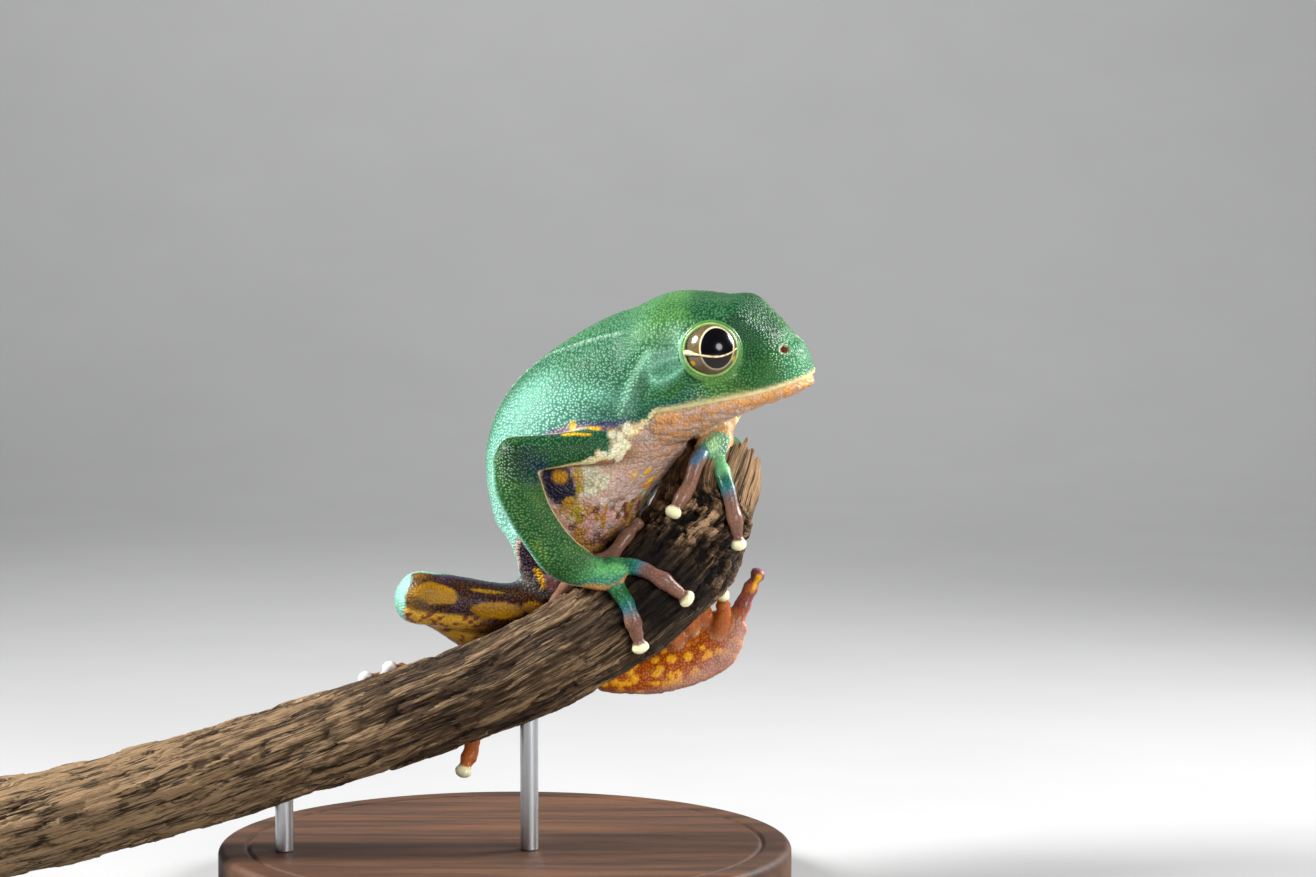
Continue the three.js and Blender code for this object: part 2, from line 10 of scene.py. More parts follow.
import bpy
import numpy as np
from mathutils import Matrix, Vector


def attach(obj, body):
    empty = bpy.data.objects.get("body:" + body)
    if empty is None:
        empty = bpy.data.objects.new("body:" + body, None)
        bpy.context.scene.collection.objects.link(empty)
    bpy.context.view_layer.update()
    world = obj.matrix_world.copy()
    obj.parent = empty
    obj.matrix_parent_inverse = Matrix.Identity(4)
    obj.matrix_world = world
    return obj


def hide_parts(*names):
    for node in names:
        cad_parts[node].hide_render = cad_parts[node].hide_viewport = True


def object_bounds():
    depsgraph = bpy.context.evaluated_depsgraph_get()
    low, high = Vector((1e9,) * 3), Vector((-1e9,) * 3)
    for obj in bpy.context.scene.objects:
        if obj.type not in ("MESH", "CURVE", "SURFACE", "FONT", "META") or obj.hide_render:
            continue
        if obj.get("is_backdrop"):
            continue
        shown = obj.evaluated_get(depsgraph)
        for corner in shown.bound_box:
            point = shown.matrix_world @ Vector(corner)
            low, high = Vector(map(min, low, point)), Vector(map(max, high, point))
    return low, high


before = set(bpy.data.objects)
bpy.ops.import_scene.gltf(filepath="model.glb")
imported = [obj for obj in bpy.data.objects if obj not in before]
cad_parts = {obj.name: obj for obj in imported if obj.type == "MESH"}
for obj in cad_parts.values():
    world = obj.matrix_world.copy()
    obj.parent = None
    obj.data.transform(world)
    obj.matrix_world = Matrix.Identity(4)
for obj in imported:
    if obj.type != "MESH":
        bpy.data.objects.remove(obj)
solid_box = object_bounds()
print("solids:", sorted(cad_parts))

# %% [markdown]
# ## Two frames and one scale
# The solids are in metres and stand on the floor. The frog is easier to describe in millimetres, from a
# point inside its chest, so every shape here is worked out in those and moved and scaled at the end.

# %% The figure's own frame
MM = 0.001
FIGURE = np.array((24.0, -4.0, 71.0))  # the chest point's place in the solids' frame, in mm
SIGN = {"right": -1, "left": 1}  # the frog's two sides, and the sign of each in the head's frame


def metres(points):
    """Millimetres in the figure's frame to metres in the solids': add the chest point, then scale."""
    return (np.asarray(points, float) + FIGURE) * MM


def unit(vectors):
    """Each vector divided by its own length."""
    vectors = np.asarray(vectors, float)
    return vectors / np.maximum(np.linalg.norm(vectors, axis=-1, keepdims=True), 1e-12)


def ease(low, high, value):
    """0 at `low` and 1 at `high`, with the smooth step 3x^2 - 2x^3 between. `low` may be the larger."""
    x = np.clip((value - low) / (high - low), 0.0, 1.0)
    return x * x * (3.0 - 2.0 * x)


def hump(distance, width):
    """A bell that is 1 at distance 0 and fades over `width`: exp(-(distance / width)^2)."""
    return np.exp(-((distance / width) ** 2))


# %% [markdown]
# ## The camera
# A long lens from 0.6 m away keeps a small animal's proportions natural. It looks down by five degrees,
# and its focal length is the one that shows 204 mm across at the frog's distance.

# %% Place the camera
CAMERA_DISTANCE = 600.0
CAMERA_DROP = math.radians(5.0)
FRAME_WIDTH = 1316 * 0.155  # mm across at the frog: the frame's pixels, and the mm that each one shows
SENSOR = 36.0

camera_data = bpy.data.cameras.new("camera")
camera_data.sensor_width = SENSOR
camera_data.lens = SENSOR * CAMERA_DISTANCE / FRAME_WIDTH
camera_data.clip_start, camera_data.clip_end = 0.05, 10.0
camera = bpy.data.objects.new("camera", camera_data)
camera_back = np.array((0.0, -math.cos(CAMERA_DROP), math.sin(CAMERA_DROP)))
camera.location = metres(camera_back * CAMERA_DISTANCE)
camera.rotation_euler = (math.pi / 2 - CAMERA_DROP, 0.0, 0.0)
bpy.context.scene.collection.objects.link(camera)
bpy.context.scene.camera = camera
print("lens", round(camera_data.lens, 1), "mm at", [round(x, 4) for x in camera.location])

# %% [markdown]
# ## Smooth lines and swept sections
# Limbs, fingers and the trunk are all the same kind of form: a line through the middle, with a rounded
# section carried along it. Metaballs or a skin modifier could make them too, but a swept section keeps
# each width exactly as the solids have it.

# %% Lines and sections
def round_turn(count):
    """Angles evenly spaced round a full turn, in radians."""
    return np.linspace(0, 2 * np.pi, count, endpoint=False)


def carried(centre, side, top, x, y):
    """Sections carried along a line: centre + side * x + top * y at each station and angle."""
    return centre + side * x[..., None] + top * y[..., None]


def smooth_rows(rows, count):
    """A smooth line through rows of numbers, `count` samples long.

    Each stretch is the cubic that leaves a row with half the step from the row before to the row after.
    Beyond each end the line is continued straight.
    """
    rows = np.asarray(rows, float)
    rows = np.vstack([2 * rows[0] - rows[1], rows, 2 * rows[-1] - rows[-2]])
    place = np.linspace(0, len(rows) - 3, count)
    first = np.minimum(place.astype(int), len(rows) - 4)
    x = (place - first)[:, None]
    a, b, c, d = (rows[first + i] for i in range(4))
    return b + 0.5 * x * (c - a + x * (2 * a - 5 * b + 4 * c - d + x * (3 * (b - c) + d - a)))


def axes_along(centres, ups):
    """A line's direction at each sample, and two axes across it: side = up x along, top = along x side."""
    along = unit(np.gradient(centres, axis=0))
    side = unit(np.cross(ups, along))
    return along, side, np.cross(along, side)


def section(angles, across, high, deep, power=2.0):
    """A rounded section: across * |cos|^(2/power) and high or deep * |sin|^(2/power), with their signs."""
    cosine, sine = np.cos(angles), np.sin(angles)
    x = across * np.sign(cosine) * np.abs(cosine) ** (2.0 / power)
    y = np.where(sine > 0, high, deep) * np.sign(sine) * np.abs(sine) ** (2.0 / power)
    return x, y


def closed_loft(rings, start, end):
    """Rings of points (n, m, 3) joined by quads, and closed by a fan to a point at each end."""
    count, sides = rings.shape[:2]
    points = np.vstack([start, rings.reshape(-1, 3), end])
    i = np.arange(sides)
    j = (i + 1) % sides
    low = 1 + sides * np.arange(count - 1)[:, None]
    quads = np.stack([low + i, low + j, low + sides + j, low + sides + i], -1).reshape(-1, 4)
    last = len(points) - 1
    foot = np.stack([0 * i, 1 + j, 1 + i], -1)
    head = np.stack([0 * i + last, last - sides + i, last - sides + j], -1)
    return points, quads.tolist() + foot.tolist() + head.tolist()


# %% [markdown]
# ## One class for every limb
# A finger, a thigh and the trunk differ only in their stations, so one class serves them all. It makes the
# surface, and it can tell where any point lies on that body, which carving and painting need later.

# %% Swept bodies
class Sweep:
    """A body carried along stations [x, y, z, half-width, height, depth]. `ups` point up across it."""

    def __init__(self, kind, stations, ups, sides=40, stretch=8, domes=(0.9, 0.9)):
        stations, ups = np.asarray(stations, float), np.asarray(ups, float)
        ups = ups if ups.ndim == 2 else np.tile(ups, (len(stations), 1))
        count = (len(stations) - 1) * stretch + 1
        self.kind, self.sides, self.stretch, self.domes = kind, sides, stretch, domes
        line = smooth_rows(stations, count)
        self.centre, self.size = line[:, :3], line[:, 3:]
        self.along, self.side, self.top = axes_along(self.centre, smooth_rows(ups, count))

    def skin(self, dome_rings=6):
        """The closed surface. A dome's rings shrink by cos(b) as they move out by sin(b) of its length."""
        x, y = section(round_turn(self.sides), *(self.size[:, i:i + 1] for i in range(3)))
        body = carried(self.centre[:, None], self.side[:, None], self.top[:, None], x, y)
        bend = np.linspace(0, np.pi / 2, dome_rings + 1)[1:-1, None, None]
        length = [d * (self.size[k] @ (2, 1, 1)) / 4 for d, k in zip(self.domes, (0, -1))]
        ends = [self.centre[k] + (body[k] - self.centre[k]) * np.cos(bend)
                + sign * self.along[k] * length[k] * np.sin(bend) for k, sign in ((0, -1), (-1, 1))]
        tips = [self.centre[k] + sign * self.along[k] * length[k] for k, sign in ((0, -1), (-1, 1))]
        return closed_loft(np.concatenate([ends[0][::-1], body, ends[1]]), *tips)

    def locate(self, points):
        """Where points lie: the station they are level with, their distance as a share of the section's
        radius that way, and the angle from the side axis towards the top axis, in degrees."""
        squares = (points**2).sum(1)[:, None] - 2 * points @ self.centre.T + (self.centre**2).sum(1)
        k = squares.argmin(1)
        offset = points - self.centre[k]
        forward = (offset * self.along[k]).sum(1)
        x, y = (offset * self.side[k]).sum(1), (offset * self.top[k]).sum(1)
        across, high, deep = self.size[k].T
        share = np.sqrt((x / across) ** 2 + (y / np.where(y > 0, high, deep)) ** 2
                        + (forward / self.size[k].mean(1)) ** 2)
        step = np.linalg.norm(np.diff(self.centre, axis=0), axis=1).mean()
        station = (k + np.clip(forward / step, -1, 1)) / self.stretch
        return station, share, np.degrees(np.arctan2(y, x))


# %% [markdown]
# ## The branch's line
# Fingers and toes lie on the bark, so the branch's own line and thickness come before them: stations
# along its middle, each with a radius.

# %% The branch's line
BRANCH = [
    [-104.2, -5.3, -60.7, 7.4], [-86.5, -5.0, -56.7, 7.3], [-71.0, -4.6, -52.6, 7.1],
    [-55.5, -4.2, -47.9, 7.1], [-40.0, -3.8, -43.0, 7.3], [-24.5, -3.3, -37.6, 7.2],
    [-15.2, -2.9, -33.1, 7.3], [-7.5, -1.5, -28.8, 7.6], [-0.5, 1.0, -23.3, 8.0],
    [4.9, 4.5, -17.1, 8.3], [7.2, 7.6, -11.5, 8.0], [9.3, 9.6, -6.9, 7.6],
]
branch_line = smooth_rows(BRANCH, 881)
branch_steps = np.linalg.norm(np.diff(branch_line[:, :3], axis=0), axis=1)
branch_thick = 2 * branch_line[:, 3].mean()
print("branch:", round(branch_steps.sum()), "mm long and", round(branch_thick, 1), "mm thick")


def branch_near(points):
    """The branch's middle and radius nearest to each point."""
    points = np.atleast_2d(np.asarray(points, float))
    gaps = np.linalg.norm(points[:, None] - branch_line[None, :, :3], axis=2)
    nearest = branch_line[gaps.argmin(1)]
    return nearest[:, :3], nearest[:, 3]


def on_bark(points, lift):
    """Points moved straight out from the branch's middle until they are `lift` above its bark."""
    middle, radius = branch_near(points)
    return middle + unit(points - middle) * (radius + lift)[:, None]


# %% [markdown]
# ## The frog's flesh
# The body is laid out limb by limb, as a sculptor blocks out clay: a trunk bent upright behind the
# branch, arms and legs of two stretches each, flat palms and soles, and fingers and toes that end in
# discs. Each is a swept body that overlaps its neighbours, to be melted into one skin later.

# %% Trunk, arms and legs
TRUNK = [
    [6.3, 8.3, 9.7, 10.4, 9.6, 8.2], [-0.2, 10.9, 8.4, 13.0, 12.0, 11.2],
    [-6.4, 12.2, 3.2, 14.3, 14.0, 12.4], [-12.0, 11.8, -3.0, 14.9, 14.6, 12.4],
    [-13.8, 11.2, -9.2, 14.1, 12.5, 11.8], [-13.0, 11.2, -15.4, 11.9, 10.4, 9.6],
    [-13.6, 11.4, -20.6, 9.6, 8.7, 7.2], [-15.1, 12.0, -25.5, 7.0, 6.6, 5.4],
    [-15.3, 12.1, -29.4, 3.6, 3.6, 3.4],
]
BACKWARD = [
    [-0.18, -0.11, 0.98], [-0.20, -0.05, 0.98], [-0.58, 0.46, 0.67], [-0.66, 0.67, 0.32],
    [-0.70, 0.71, 0.01], [-0.57, 0.82, -0.07], [-0.50, 0.86, -0.08], [-0.45, 0.89, -0.08],
    [-0.45, 0.89, -0.08],
]
VIEWER = (0.0, -1.0, 0.0)


def limb(kind, stations, ups=VIEWER):
    """A limb's stretch through [x, y, z, radius] stations, round in section."""
    return Sweep(kind, [[x, y, z, r, r, r] for x, y, z, r in stations], ups)


def pad(kind, stations, ups):
    """A palm or sole: flat stations [x, y, z, half-width, half-thickness] that face one way."""
    return Sweep(kind, [[x, y, z, w, t, t] for x, y, z, w, t in stations], ups)


trunk = Sweep("trunk", TRUNK, BACKWARD, sides=120, stretch=16, domes=(0.2, 0.8))
upper_arm_right = limb("arm", [
    [-3.2, 6.2, -0.6, 4.0], [-8.8, 0.2, -1.0, 3.2], [-15.1, -3.6, -1.5, 2.65], [-22.2, -4.8, -2.3, 3.0]])
forearm_right = limb("arm", [
    [-22.6, -4.8, -3.1, 3.0], [-21.7, -5.1, -6.5, 3.75], [-20.0, -5.5, -10.6, 3.45],
    [-17.5, -5.8, -14.6, 3.3], [-15.1, -6.1, -17.6, 3.4], [-12.6, -6.2, -19.2, 3.1]])
upper_arm_left = limb("arm", [
    [1.0, 17.0, 1.0, 3.2], [3.6, 21.5, 2.2, 3.0], [6.6, 26.6, 3.2, 2.7], [9.6, 31.0, 3.9, 2.9]],
    (-0.3, 0.2, 0.9))
forearm_left = limb("arm", [
    [10.2, 31.2, 3.8, 3.0], [10.6, 27.0, 3.6, 3.3], [10.5, 20.6, 3.0, 3.0],
    [10.1, 14.0, 1.9, 2.5], [9.6, 8.8, 0.7, 2.2]], (0.3, -0.2, 0.95))
thigh_right = limb("thigh", [
    [-14.0, 10.8, -26.6, 5.0], [-18.5, 9.3, -27.1, 5.0], [-25.0, 7.2, -26.8, 4.6],
    [-32.0, 5.0, -26.1, 4.3], [-37.4, 3.8, -25.4, 3.8]])
shank_right = limb("shank", [
    [-37.8, 4.4, -25.6, 3.6], [-34.4, 7.0, -27.2, 3.5], [-28.8, 9.4, -31.2, 3.5],
    [-22.9, 10.8, -35.4, 3.0], [-18.0, 11.6, -37.9, 2.6]], (-0.3, -0.8, 0.5))
thigh_left = limb("thigh", [
    [-12.6, 13.2, -26.8, 5.0], [-9.0, 16.6, -27.4, 5.0], [-4.0, 20.6, -26.6, 4.6],
    [1.4, 25.0, -24.8, 4.2], [5.4, 27.6, -23.4, 3.6]], (0.6, -0.8, 0.0))
shank_left = limb("shank", [
    [6.0, 27.2, -24.4, 3.6], [4.4, 24.6, -27.6, 3.7], [0.3, 19.3, -31.8, 3.5],
    [-4.1, 14.4, -35.6, 3.0], [-7.4, 11.2, -38.0, 2.6]], (0.7, 0.3, 0.6))
palm_right = pad("palm", [
    [-12.2, -6.3, -19.6, 2.8, 2.4], [-8.8, -6.7, -20.3, 3.0, 1.8], [-6.6, -7.2, -20.2, 2.8, 1.4]],
    (0.2, -0.7, 0.68))
palm_left = pad("palm", [
    [9.7, 8.6, 0.5, 2.2, 2.0], [9.1, 6.4, -0.9, 2.8, 1.8], [8.4, 4.6, -2.2, 2.8, 1.4]], (0.1, -0.35, 0.93))
sole_right = pad("sole", [
    [-18.2, 11.6, -38.9, 2.6, 2.4], [-22.6, 11.5, -40.3, 2.5, 2.2], [-27.0, 10.6, -41.3, 2.8, 1.9],
    [-31.4, 9.4, -42.2, 3.6, 1.7], [-35.0, 8.0, -42.6, 3.2, 1.4]], (0.1, 0.95, 0.1))
sole_left = pad("sole", [
    [-8.0, 10.2, -38.6, 2.6, 2.4], [-4.1, 9.7, -38.8, 2.6, 2.3], [0.3, 9.8, -38.2, 3.1, 2.1],
    [5.0, 10.5, -35.8, 4.4, 1.9], [8.7, 11.3, -33.2, 4.8, 1.7], [11.5, 12.0, -30.4, 3.1, 1.4]],
    (0.2, 0.95, -0.2))
limbs = [upper_arm_right, forearm_right, upper_arm_left, forearm_left, thigh_right, shank_right,
         thigh_left, shank_left, palm_right, palm_left, sole_right, sole_left]
print("limbs:", len(limbs), "with", sum(len(s.centre) for s in limbs), "sections")

# %% [markdown]
# ## Fingers and toes
# Leaf frogs climb hand over hand, with slim digits that wrap round a twig and end in small round discs.
# A digit here is a few free points, then points laid on the bark, and two more for the disc. The joints
# swell a little, as a knuckle does.

# %% Fingers and toes
DISC = 1.5  # half the width of a disc, in mm
FINGER_THICK, TOE_THICK = 1.25, 1.35  # half-widths, in mm


def digit(kind, free, resting, green_share, thick=FINGER_THICK):
    """A digit through its free points, then the resting ones moved onto the bark, then its disc.

    Half its width falls evenly from 1.12 to 0.82 of `thick`, and each joint is a tenth wider.
    """
    laid = on_bark(np.array(resting), thick * 0.75) if resting else np.empty((0, 3))
    path = np.vstack([np.reshape(free, (-1, 3)), laid])
    half = thick * (1.12 - 0.3 * np.arange(len(path)) / (len(path) - 1))
    onward = unit(path[-1] - path[-2])
    path = np.vstack([path, path[-1] + 0.9 * onward, path[-1] + 1.9 * onward])
    half = np.append(half, (thick * 0.84, DISC))
    flat = np.append(np.full(len(half) - 2, 0.9), (0.792, 0.792))
    stations = np.column_stack([path, half, half * flat, half * flat])
    made = Sweep(kind, stations, unit(path - branch_near(path)[0]), sides=28, stretch=10, domes=(0.6, 0.75))
    place = np.arange(len(made.centre)) / made.stretch
    count = len(stations)
    joint = hump(place - np.round(place), 0.22) * ease(0.4, 1.0, place)
    joint = joint * ease(count - 2.2, count - 3, place)
    made.size = made.size * (1 + 0.09 * joint)[:, None]
    made.green_share = green_share
    return made


FINGERS = [  # free points, points laid on the bark, and the share of its length that is green
    ([(-7.6, -6.2, -18.9)],
     [(-4.3, -7.1, -18.6), (-1.8, -7.9, -19.4), (0.8, -7.9, -21.1), (2.9, -7.0, -23.0)], 0.27),
    ([(-7.4, -7.3, -21.0)],
     [(-6.0, -9.0, -22.5), (-4.7, -9.7, -24.4), (-3.7, -10.0, -27.2), (-3.1, -9.3, -29.6)], 0.4),
    ([(-10.2, -4.6, -18.9)], [(-8.1, -2.6, -17.4), (-5.9, -0.8, -15.9), (-4.2, 0.2, -15.0)], -0.2),
    ([(-12.2, -3.4, -20.6)], [(-14.0, -0.6, -23.4), (-15.4, 1.6, -25.0), (-16.4, 3.2, -27.4)], 0.0),
    ([(7.6, 5.0, -2.3), (6.2, 2.0, -3.4)], [(5.0, 0.4, -7.4), (3.6, -0.5, -10.4)], 0.14),
    ([(9.3, 4.4, -3.0), (10.0, 2.2, -5.5)],
     [(10.6, 1.0, -8.5), (11.4, -0.2, -12.5), (11.8, -0.6, -14.6)], 0.33),
    ([(8.0, 7.4, -1.4)], [(7.1, 13.6, -4.9), (7.2, 17.4, -8.2), (7.7, 18.1, -10.2)], 0.3),
    ([(9.8, 8.0, -1.4)], [(10.8, 13.1, -4.9), (11.9, 15.3, -8.8), (11.9, 15.5, -11.5)], 0.3),
]
TOES = [  # free points, and points laid on the bark
    ([(-34.0, 7.6, -40.8)], [(-37.6, 5.0, -37.7), (-39.8, 3.0, -36.3), (-40.7, 2.2, -36.0)]),
    ([(-35.0, 7.4, -41.6)], [(-39.6, 5.1, -39.2), (-42.6, 3.2, -38.0), (-44.3, 2.4, -37.5)]),
    ([(-33.0, 7.6, -44.4), (-29.6, 6.8, -46.8), (-29.4, 5.2, -49.6), (-30.0, 4.4, -51.2)], []),
    ([(-35.4, 7.6, -43.0)], [(-39.5, 7.2, -44.0), (-42.5, 5.9, -44.6), (-44.6, 5.1, -45.0)]),
    ([(-34.4, 7.6, -43.8)], [(-37.0, 6.9, -46.8), (-39.2, 5.3, -48.9), (-40.6, 3.6, -50.0)]),
    ([(9.4, 10.8, -32.0), (10.4, 10.2, -28.6), (10.3, 9.8, -27.4)], []),
    ([(11.7, 11.9, -31.4), (13.4, 12.5, -27.8), (14.4, 12.7, -25.6), (15.0, 12.6, -24.4)], []),
    ([(8.2, 12.2, -32.4)], [(7.4, 15.2, -28.2), (6.8, 16.6, -24.8), (6.6, 17.4, -22.6)]),
    ([(6.2, 12.0, -34.4)], [(4.4, 14.0, -29.4), (3.0, 14.8, -26.0), (2.2, 15.0, -24.0)]),
    ([(4.2, 11.6, -35.6)], [(1.2, 12.0, -32.2), (-1.2, 11.6, -29.8), (-2.8, 11.2, -28.4)]),
]
digits = [digit("finger", *row) for row in FINGERS] + [digit("toe", *row, 0.0, TOE_THICK) for row in TOES]
print("digits:", len(digits))

# %% [markdown]
# ## The head
# A frog's head is a wedge: broad and deep at the nape, flat at the snout, with an eye bulging from each
# side. It has a frame of its own, forward, left and up from midway between the eyes, because it is turned
# and because its two halves match. Its sections are boxier than an ellipse.

# %% The head
HEAD_ORIGIN = np.array((10.9, 5.6, 15.6))
HEAD_AXES = unit([(0.927, -0.351, 0.131), (0.327, 0.929, 0.170), (-0.182, -0.115, 0.977)])
HEAD = [  # forward, middle height, half-width, height above, depth below, boxiness
    [-13.0, -5.0, 13.2, 12.2, 11.2, 2.5], [-9.0, -5.2, 13.2, 12.8, 10.2, 2.6],
    [-4.5, -5.6, 12.6, 12.7, 7.9, 2.7], [0.0, -6.0, 11.8, 12.2, 6.2, 2.6],
    [4.0, -6.4, 10.4, 12.0, 4.7, 2.9], [7.5, -6.8, 8.4, 9.0, 3.7, 2.5],
    [10.2, -7.0, 6.0, 7.0, 3.0, 2.2], [12.2, -7.0, 3.8, 4.6, 2.5, 2.0], [13.1, -7.0, 1.8, 2.3, 1.7, 2.0],
]
EYE_RADIUS = 4.3
LID_RADIUS = 5.1


def from_head(points):
    """Points given forward, left and up in the head's frame, in the figure's frame."""
    return HEAD_ORIGIN + np.asarray(points, float) @ HEAD_AXES


def to_head(points):
    """Points of the figure, given forward, left and up in the head's frame."""
    return (points - HEAD_ORIGIN) @ HEAD_AXES.T


def head_skin(rings=150, sides=128):
    """The head before its features: a boxy section at each place from nape to snout."""
    line = smooth_rows(HEAD, rings)
    left, up = section(round_turn(sides), *(line[:, i:i + 1] for i in (2, 3, 4)), power=line[:, 5:6])
    forward = np.broadcast_to(line[:, :1], left.shape)
    whole = from_head(np.stack([forward, left, line[:, 1:2] + up], -1))
    return closed_loft(whole, from_head((-14.0, 0, -5.0)), from_head((13.45, 0, -6.9)))


def ball(centre, radius, rings=48, sides=64):
    """A sphere as rings of points: radius * (sin b cos a, sin b sin a, cos b)."""
    a, b = round_turn(sides), np.linspace(0, np.pi, rings + 1)[1:-1, None]
    upward = np.broadcast_to(np.cos(b), (rings - 1, sides))
    whole = np.stack([np.sin(b) * np.cos(a), np.sin(b) * np.sin(a), upward], -1)
    return closed_loft(centre + radius * whole[::-1], centre - (0, 0, radius), centre + (0, 0, radius))


eye_centres = {side: from_head((0.0, sign * 8.5, -0.2)) for side, sign in SIGN.items()}
eye_axes = {side: unit((0.34, sign * 0.92, 0.16)) @ HEAD_AXES for side, sign in SIGN.items()}
print("eyes at", {side: np.round(c, 1).tolist() for side, c in eye_centres.items()})

# %% [markdown]
# ## One skin over it all
# The real frog has one unbroken skin. Joining the parts and running a voxel remesh melts them into one
# closed surface of even little squares, which can then be smoothed and carved like clay. A boolean union
# would keep hard creases where the parts meet.

# %% Melt the parts into one skin
VOXEL = 0.403  # mm: fine enough for the lips, and coarse enough for under 200,000 triangles


def shade_smooth(mesh):
    """Shades every face of a mesh smooth."""
    mesh.polygons.foreach_set("use_smooth", np.ones(len(mesh.polygons), bool))
    mesh.update()


def add_object(name, points, faces):
    """A new object from points in metres, shaded smooth."""
    mesh = bpy.data.meshes.new(name)
    mesh.from_pydata(points.tolist(), [], faces if isinstance(faces, list) else faces.tolist())
    shade_smooth(mesh)
    made = bpy.data.objects.new(name, mesh)
    bpy.context.scene.collection.objects.link(made)
    return made


def make_piece(name, points, faces):
    """A new piece from points in the figure's millimetres."""
    return add_object(name, metres(points), faces)


def merged(parts):
    """Several (points, faces) as one, each part's faces counted on from the ones before."""
    points, faces, first = [], [], 0
    for part_points, part_faces in parts:
        points.append(part_points)
        faces += [[first + i for i in face] for face in part_faces]
        first += len(part_points)
    return np.vstack(points), faces


flesh = [head_skin(), trunk.skin()] + [s.skin() for s in limbs + digits]
flesh += [ball(centre, LID_RADIUS) for centre in eye_centres.values()]
skin = make_piece("skin", *merged(flesh))
melt = skin.modifiers.new("melt", "REMESH")
melt.mode, melt.voxel_size = "VOXEL", VOXEL * MM
melted = bpy.data.meshes.new_from_object(skin.evaluated_get(bpy.context.evaluated_depsgraph_get()))
skin.modifiers.clear()
skin.data = melted
print("skin:", len(melted.vertices), "points,", len(melted.polygons), "faces")

# %% [markdown]
# ## Smoothing
# A voxel remesh leaves fine steps and sharp valleys between parts. Each pass moves a point towards the
# mean of its neighbours, then a little more the other way, which takes out the steps and keeps the
# volume. At the nape, where a frog has no neck, plain passes fill the valley between head and trunk,
# and round the waist they take out the ledge between back and hips.

# %% Smooth the skin
edges = np.empty(2 * len(melted.edges), np.int32)
melted.edges.foreach_get("vertices", edges)
edges = edges.reshape(-1, 2)
ends = np.concatenate([edges[:, 0], edges[:, 1]])
others = np.concatenate([edges[:, 1], edges[:, 0]])
neighbours = np.bincount(ends, minlength=len(melted.vertices))


def neighbour_mean(values):
    """The mean of a value over each point's neighbours."""
    values = np.asarray(values, float)
    columns = values.reshape(len(values), -1)
    sums = [np.bincount(ends, columns[others, i], len(columns)) for i in range(columns.shape[1])]
    return (np.stack(sums, 1) / neighbours[:, None]).reshape(values.shape)


def read_points(mesh):
    """A mesh's points in the figure's millimetres."""
    flat = np.empty(3 * len(mesh.vertices))
    mesh.vertices.foreach_get("co", flat)
    return flat.reshape(-1, 3) / MM - FIGURE


def write_points(mesh, points):
    """Puts a mesh's points back, and refreshes its normals."""
    mesh.vertices.foreach_set("co", metres(points).astype(np.float32).ravel())
    mesh.update()


def read_normals():
    """The skin's normals at its points."""
    flat = np.empty(3 * len(melted.vertices), np.float32)
    melted.vertices.foreach_get("normal", flat)
    return flat.reshape(-1, 3).astype(float)


def filled(points, share, passes):
    """Points moved by a share of the way to their neighbours' mean, in so many passes."""
    for _ in range(passes):
        points = points + share[:, None] * (neighbour_mean(points) - points)
    return points


IN_SHARE, OUT_SHARE, FILL_SHARE = 0.5, 0.53, 0.6
points = read_points(melted)
for _ in range(12):
    points += IN_SHARE * (neighbour_mean(points) - points)
    points -= OUT_SHARE * (neighbour_mean(points) - points)

head_place = to_head(points)
nape = ease(-17.5, -13.5, head_place[:, 0]) * ease(-8.5, -10.5, head_place[:, 0])
nape = nape * ease(-10.5, -8.5, head_place[:, 2])
points = filled(points, FILL_SHARE * nape, 90)
waist = [trunk.centre[int(round(station * trunk.stretch))] for station in (3.9, 5.1)]
run = waist[1] - waist[0]
down = (points - waist[0]) @ run / (run @ run)
from_waist = np.linalg.norm(points - waist[0] - down[:, None] * run, axis=1)
hip_soft = ease(-0.2, 0.25, down) * ease(1.3, 0.9, down)
hip_soft = hip_soft * ease(15.0, 13.0, from_waist) * ease(0.2, 2.4, points[:, 1])
points = filled(points, FILL_SHARE * hip_soft, 100)
write_points(melted, points)
print("smoothed; nape points:", int((nape > 0.5).sum()), "hip points:", int((hip_soft > 0.5).sum()))

# %% [markdown]
# ## Knowing where each point is
# Carving and colouring both need to know which part a point belongs to and where on that part it lies.
# Every point gets, for every sweep, the station it is level with, the angle round it and its distance as
# a share of the radius. The nearest sweep wins, with a soft border between neighbours.

# %% Places on the body
head_line = smooth_rows(HEAD, 60)
head_middle = from_head(np.stack([head_line[:, 0], 0 * head_line[:, 0], head_line[:, 1]], 1))
head_sweep = Sweep("head", np.column_stack([head_middle, head_line[:, 2:5]]), HEAD_AXES[2], stretch=1)
bodies = [head_sweep, trunk] + limbs + digits
places = [body.locate(points) for body in bodies]
shares = np.stack([share for _, share, _ in places], 1)
weights = np.exp(-9.0 * (shares - shares.min(1, keepdims=True)))
weights /= weights.sum(1, keepdims=True)


def share_of(*kinds):
    """How much of each point belongs to the sweeps of these kinds, from 0 to 1."""
    return weights[:, [i for i, body in enumerate(bodies) if body.kind in kinds]].sum(1)


def part_weight(body):
    """How much of each point belongs to one sweep."""
    return weights[:, bodies.index(body)]


def station_on(body):
    """The station of one sweep that each point is level with."""
    return places[bodies.index(body)][0]


def from_point(middle):
    """Each point's distance from one place, in mm."""
    return np.linalg.norm(points - middle, axis=1)


def distance_to_line(points, corners, count=80):
    """Each point's distance to a smooth line through a few corners, and how far along it, from 0 to 1."""
    line = smooth_rows(corners, count)
    squares = (points**2).sum(1)[:, None] - 2 * points @ line.T + (line**2).sum(1)
    k = squares.argmin(1)
    return np.sqrt(np.maximum(squares[np.arange(len(points)), k], 0)), k / (count - 1)


KINDS = ("head", "trunk", "arm", "palm", "finger", "thigh", "shank", "sole", "toe")
print("points by part:", {kind: int(share_of(kind).sum()) for kind in KINDS})

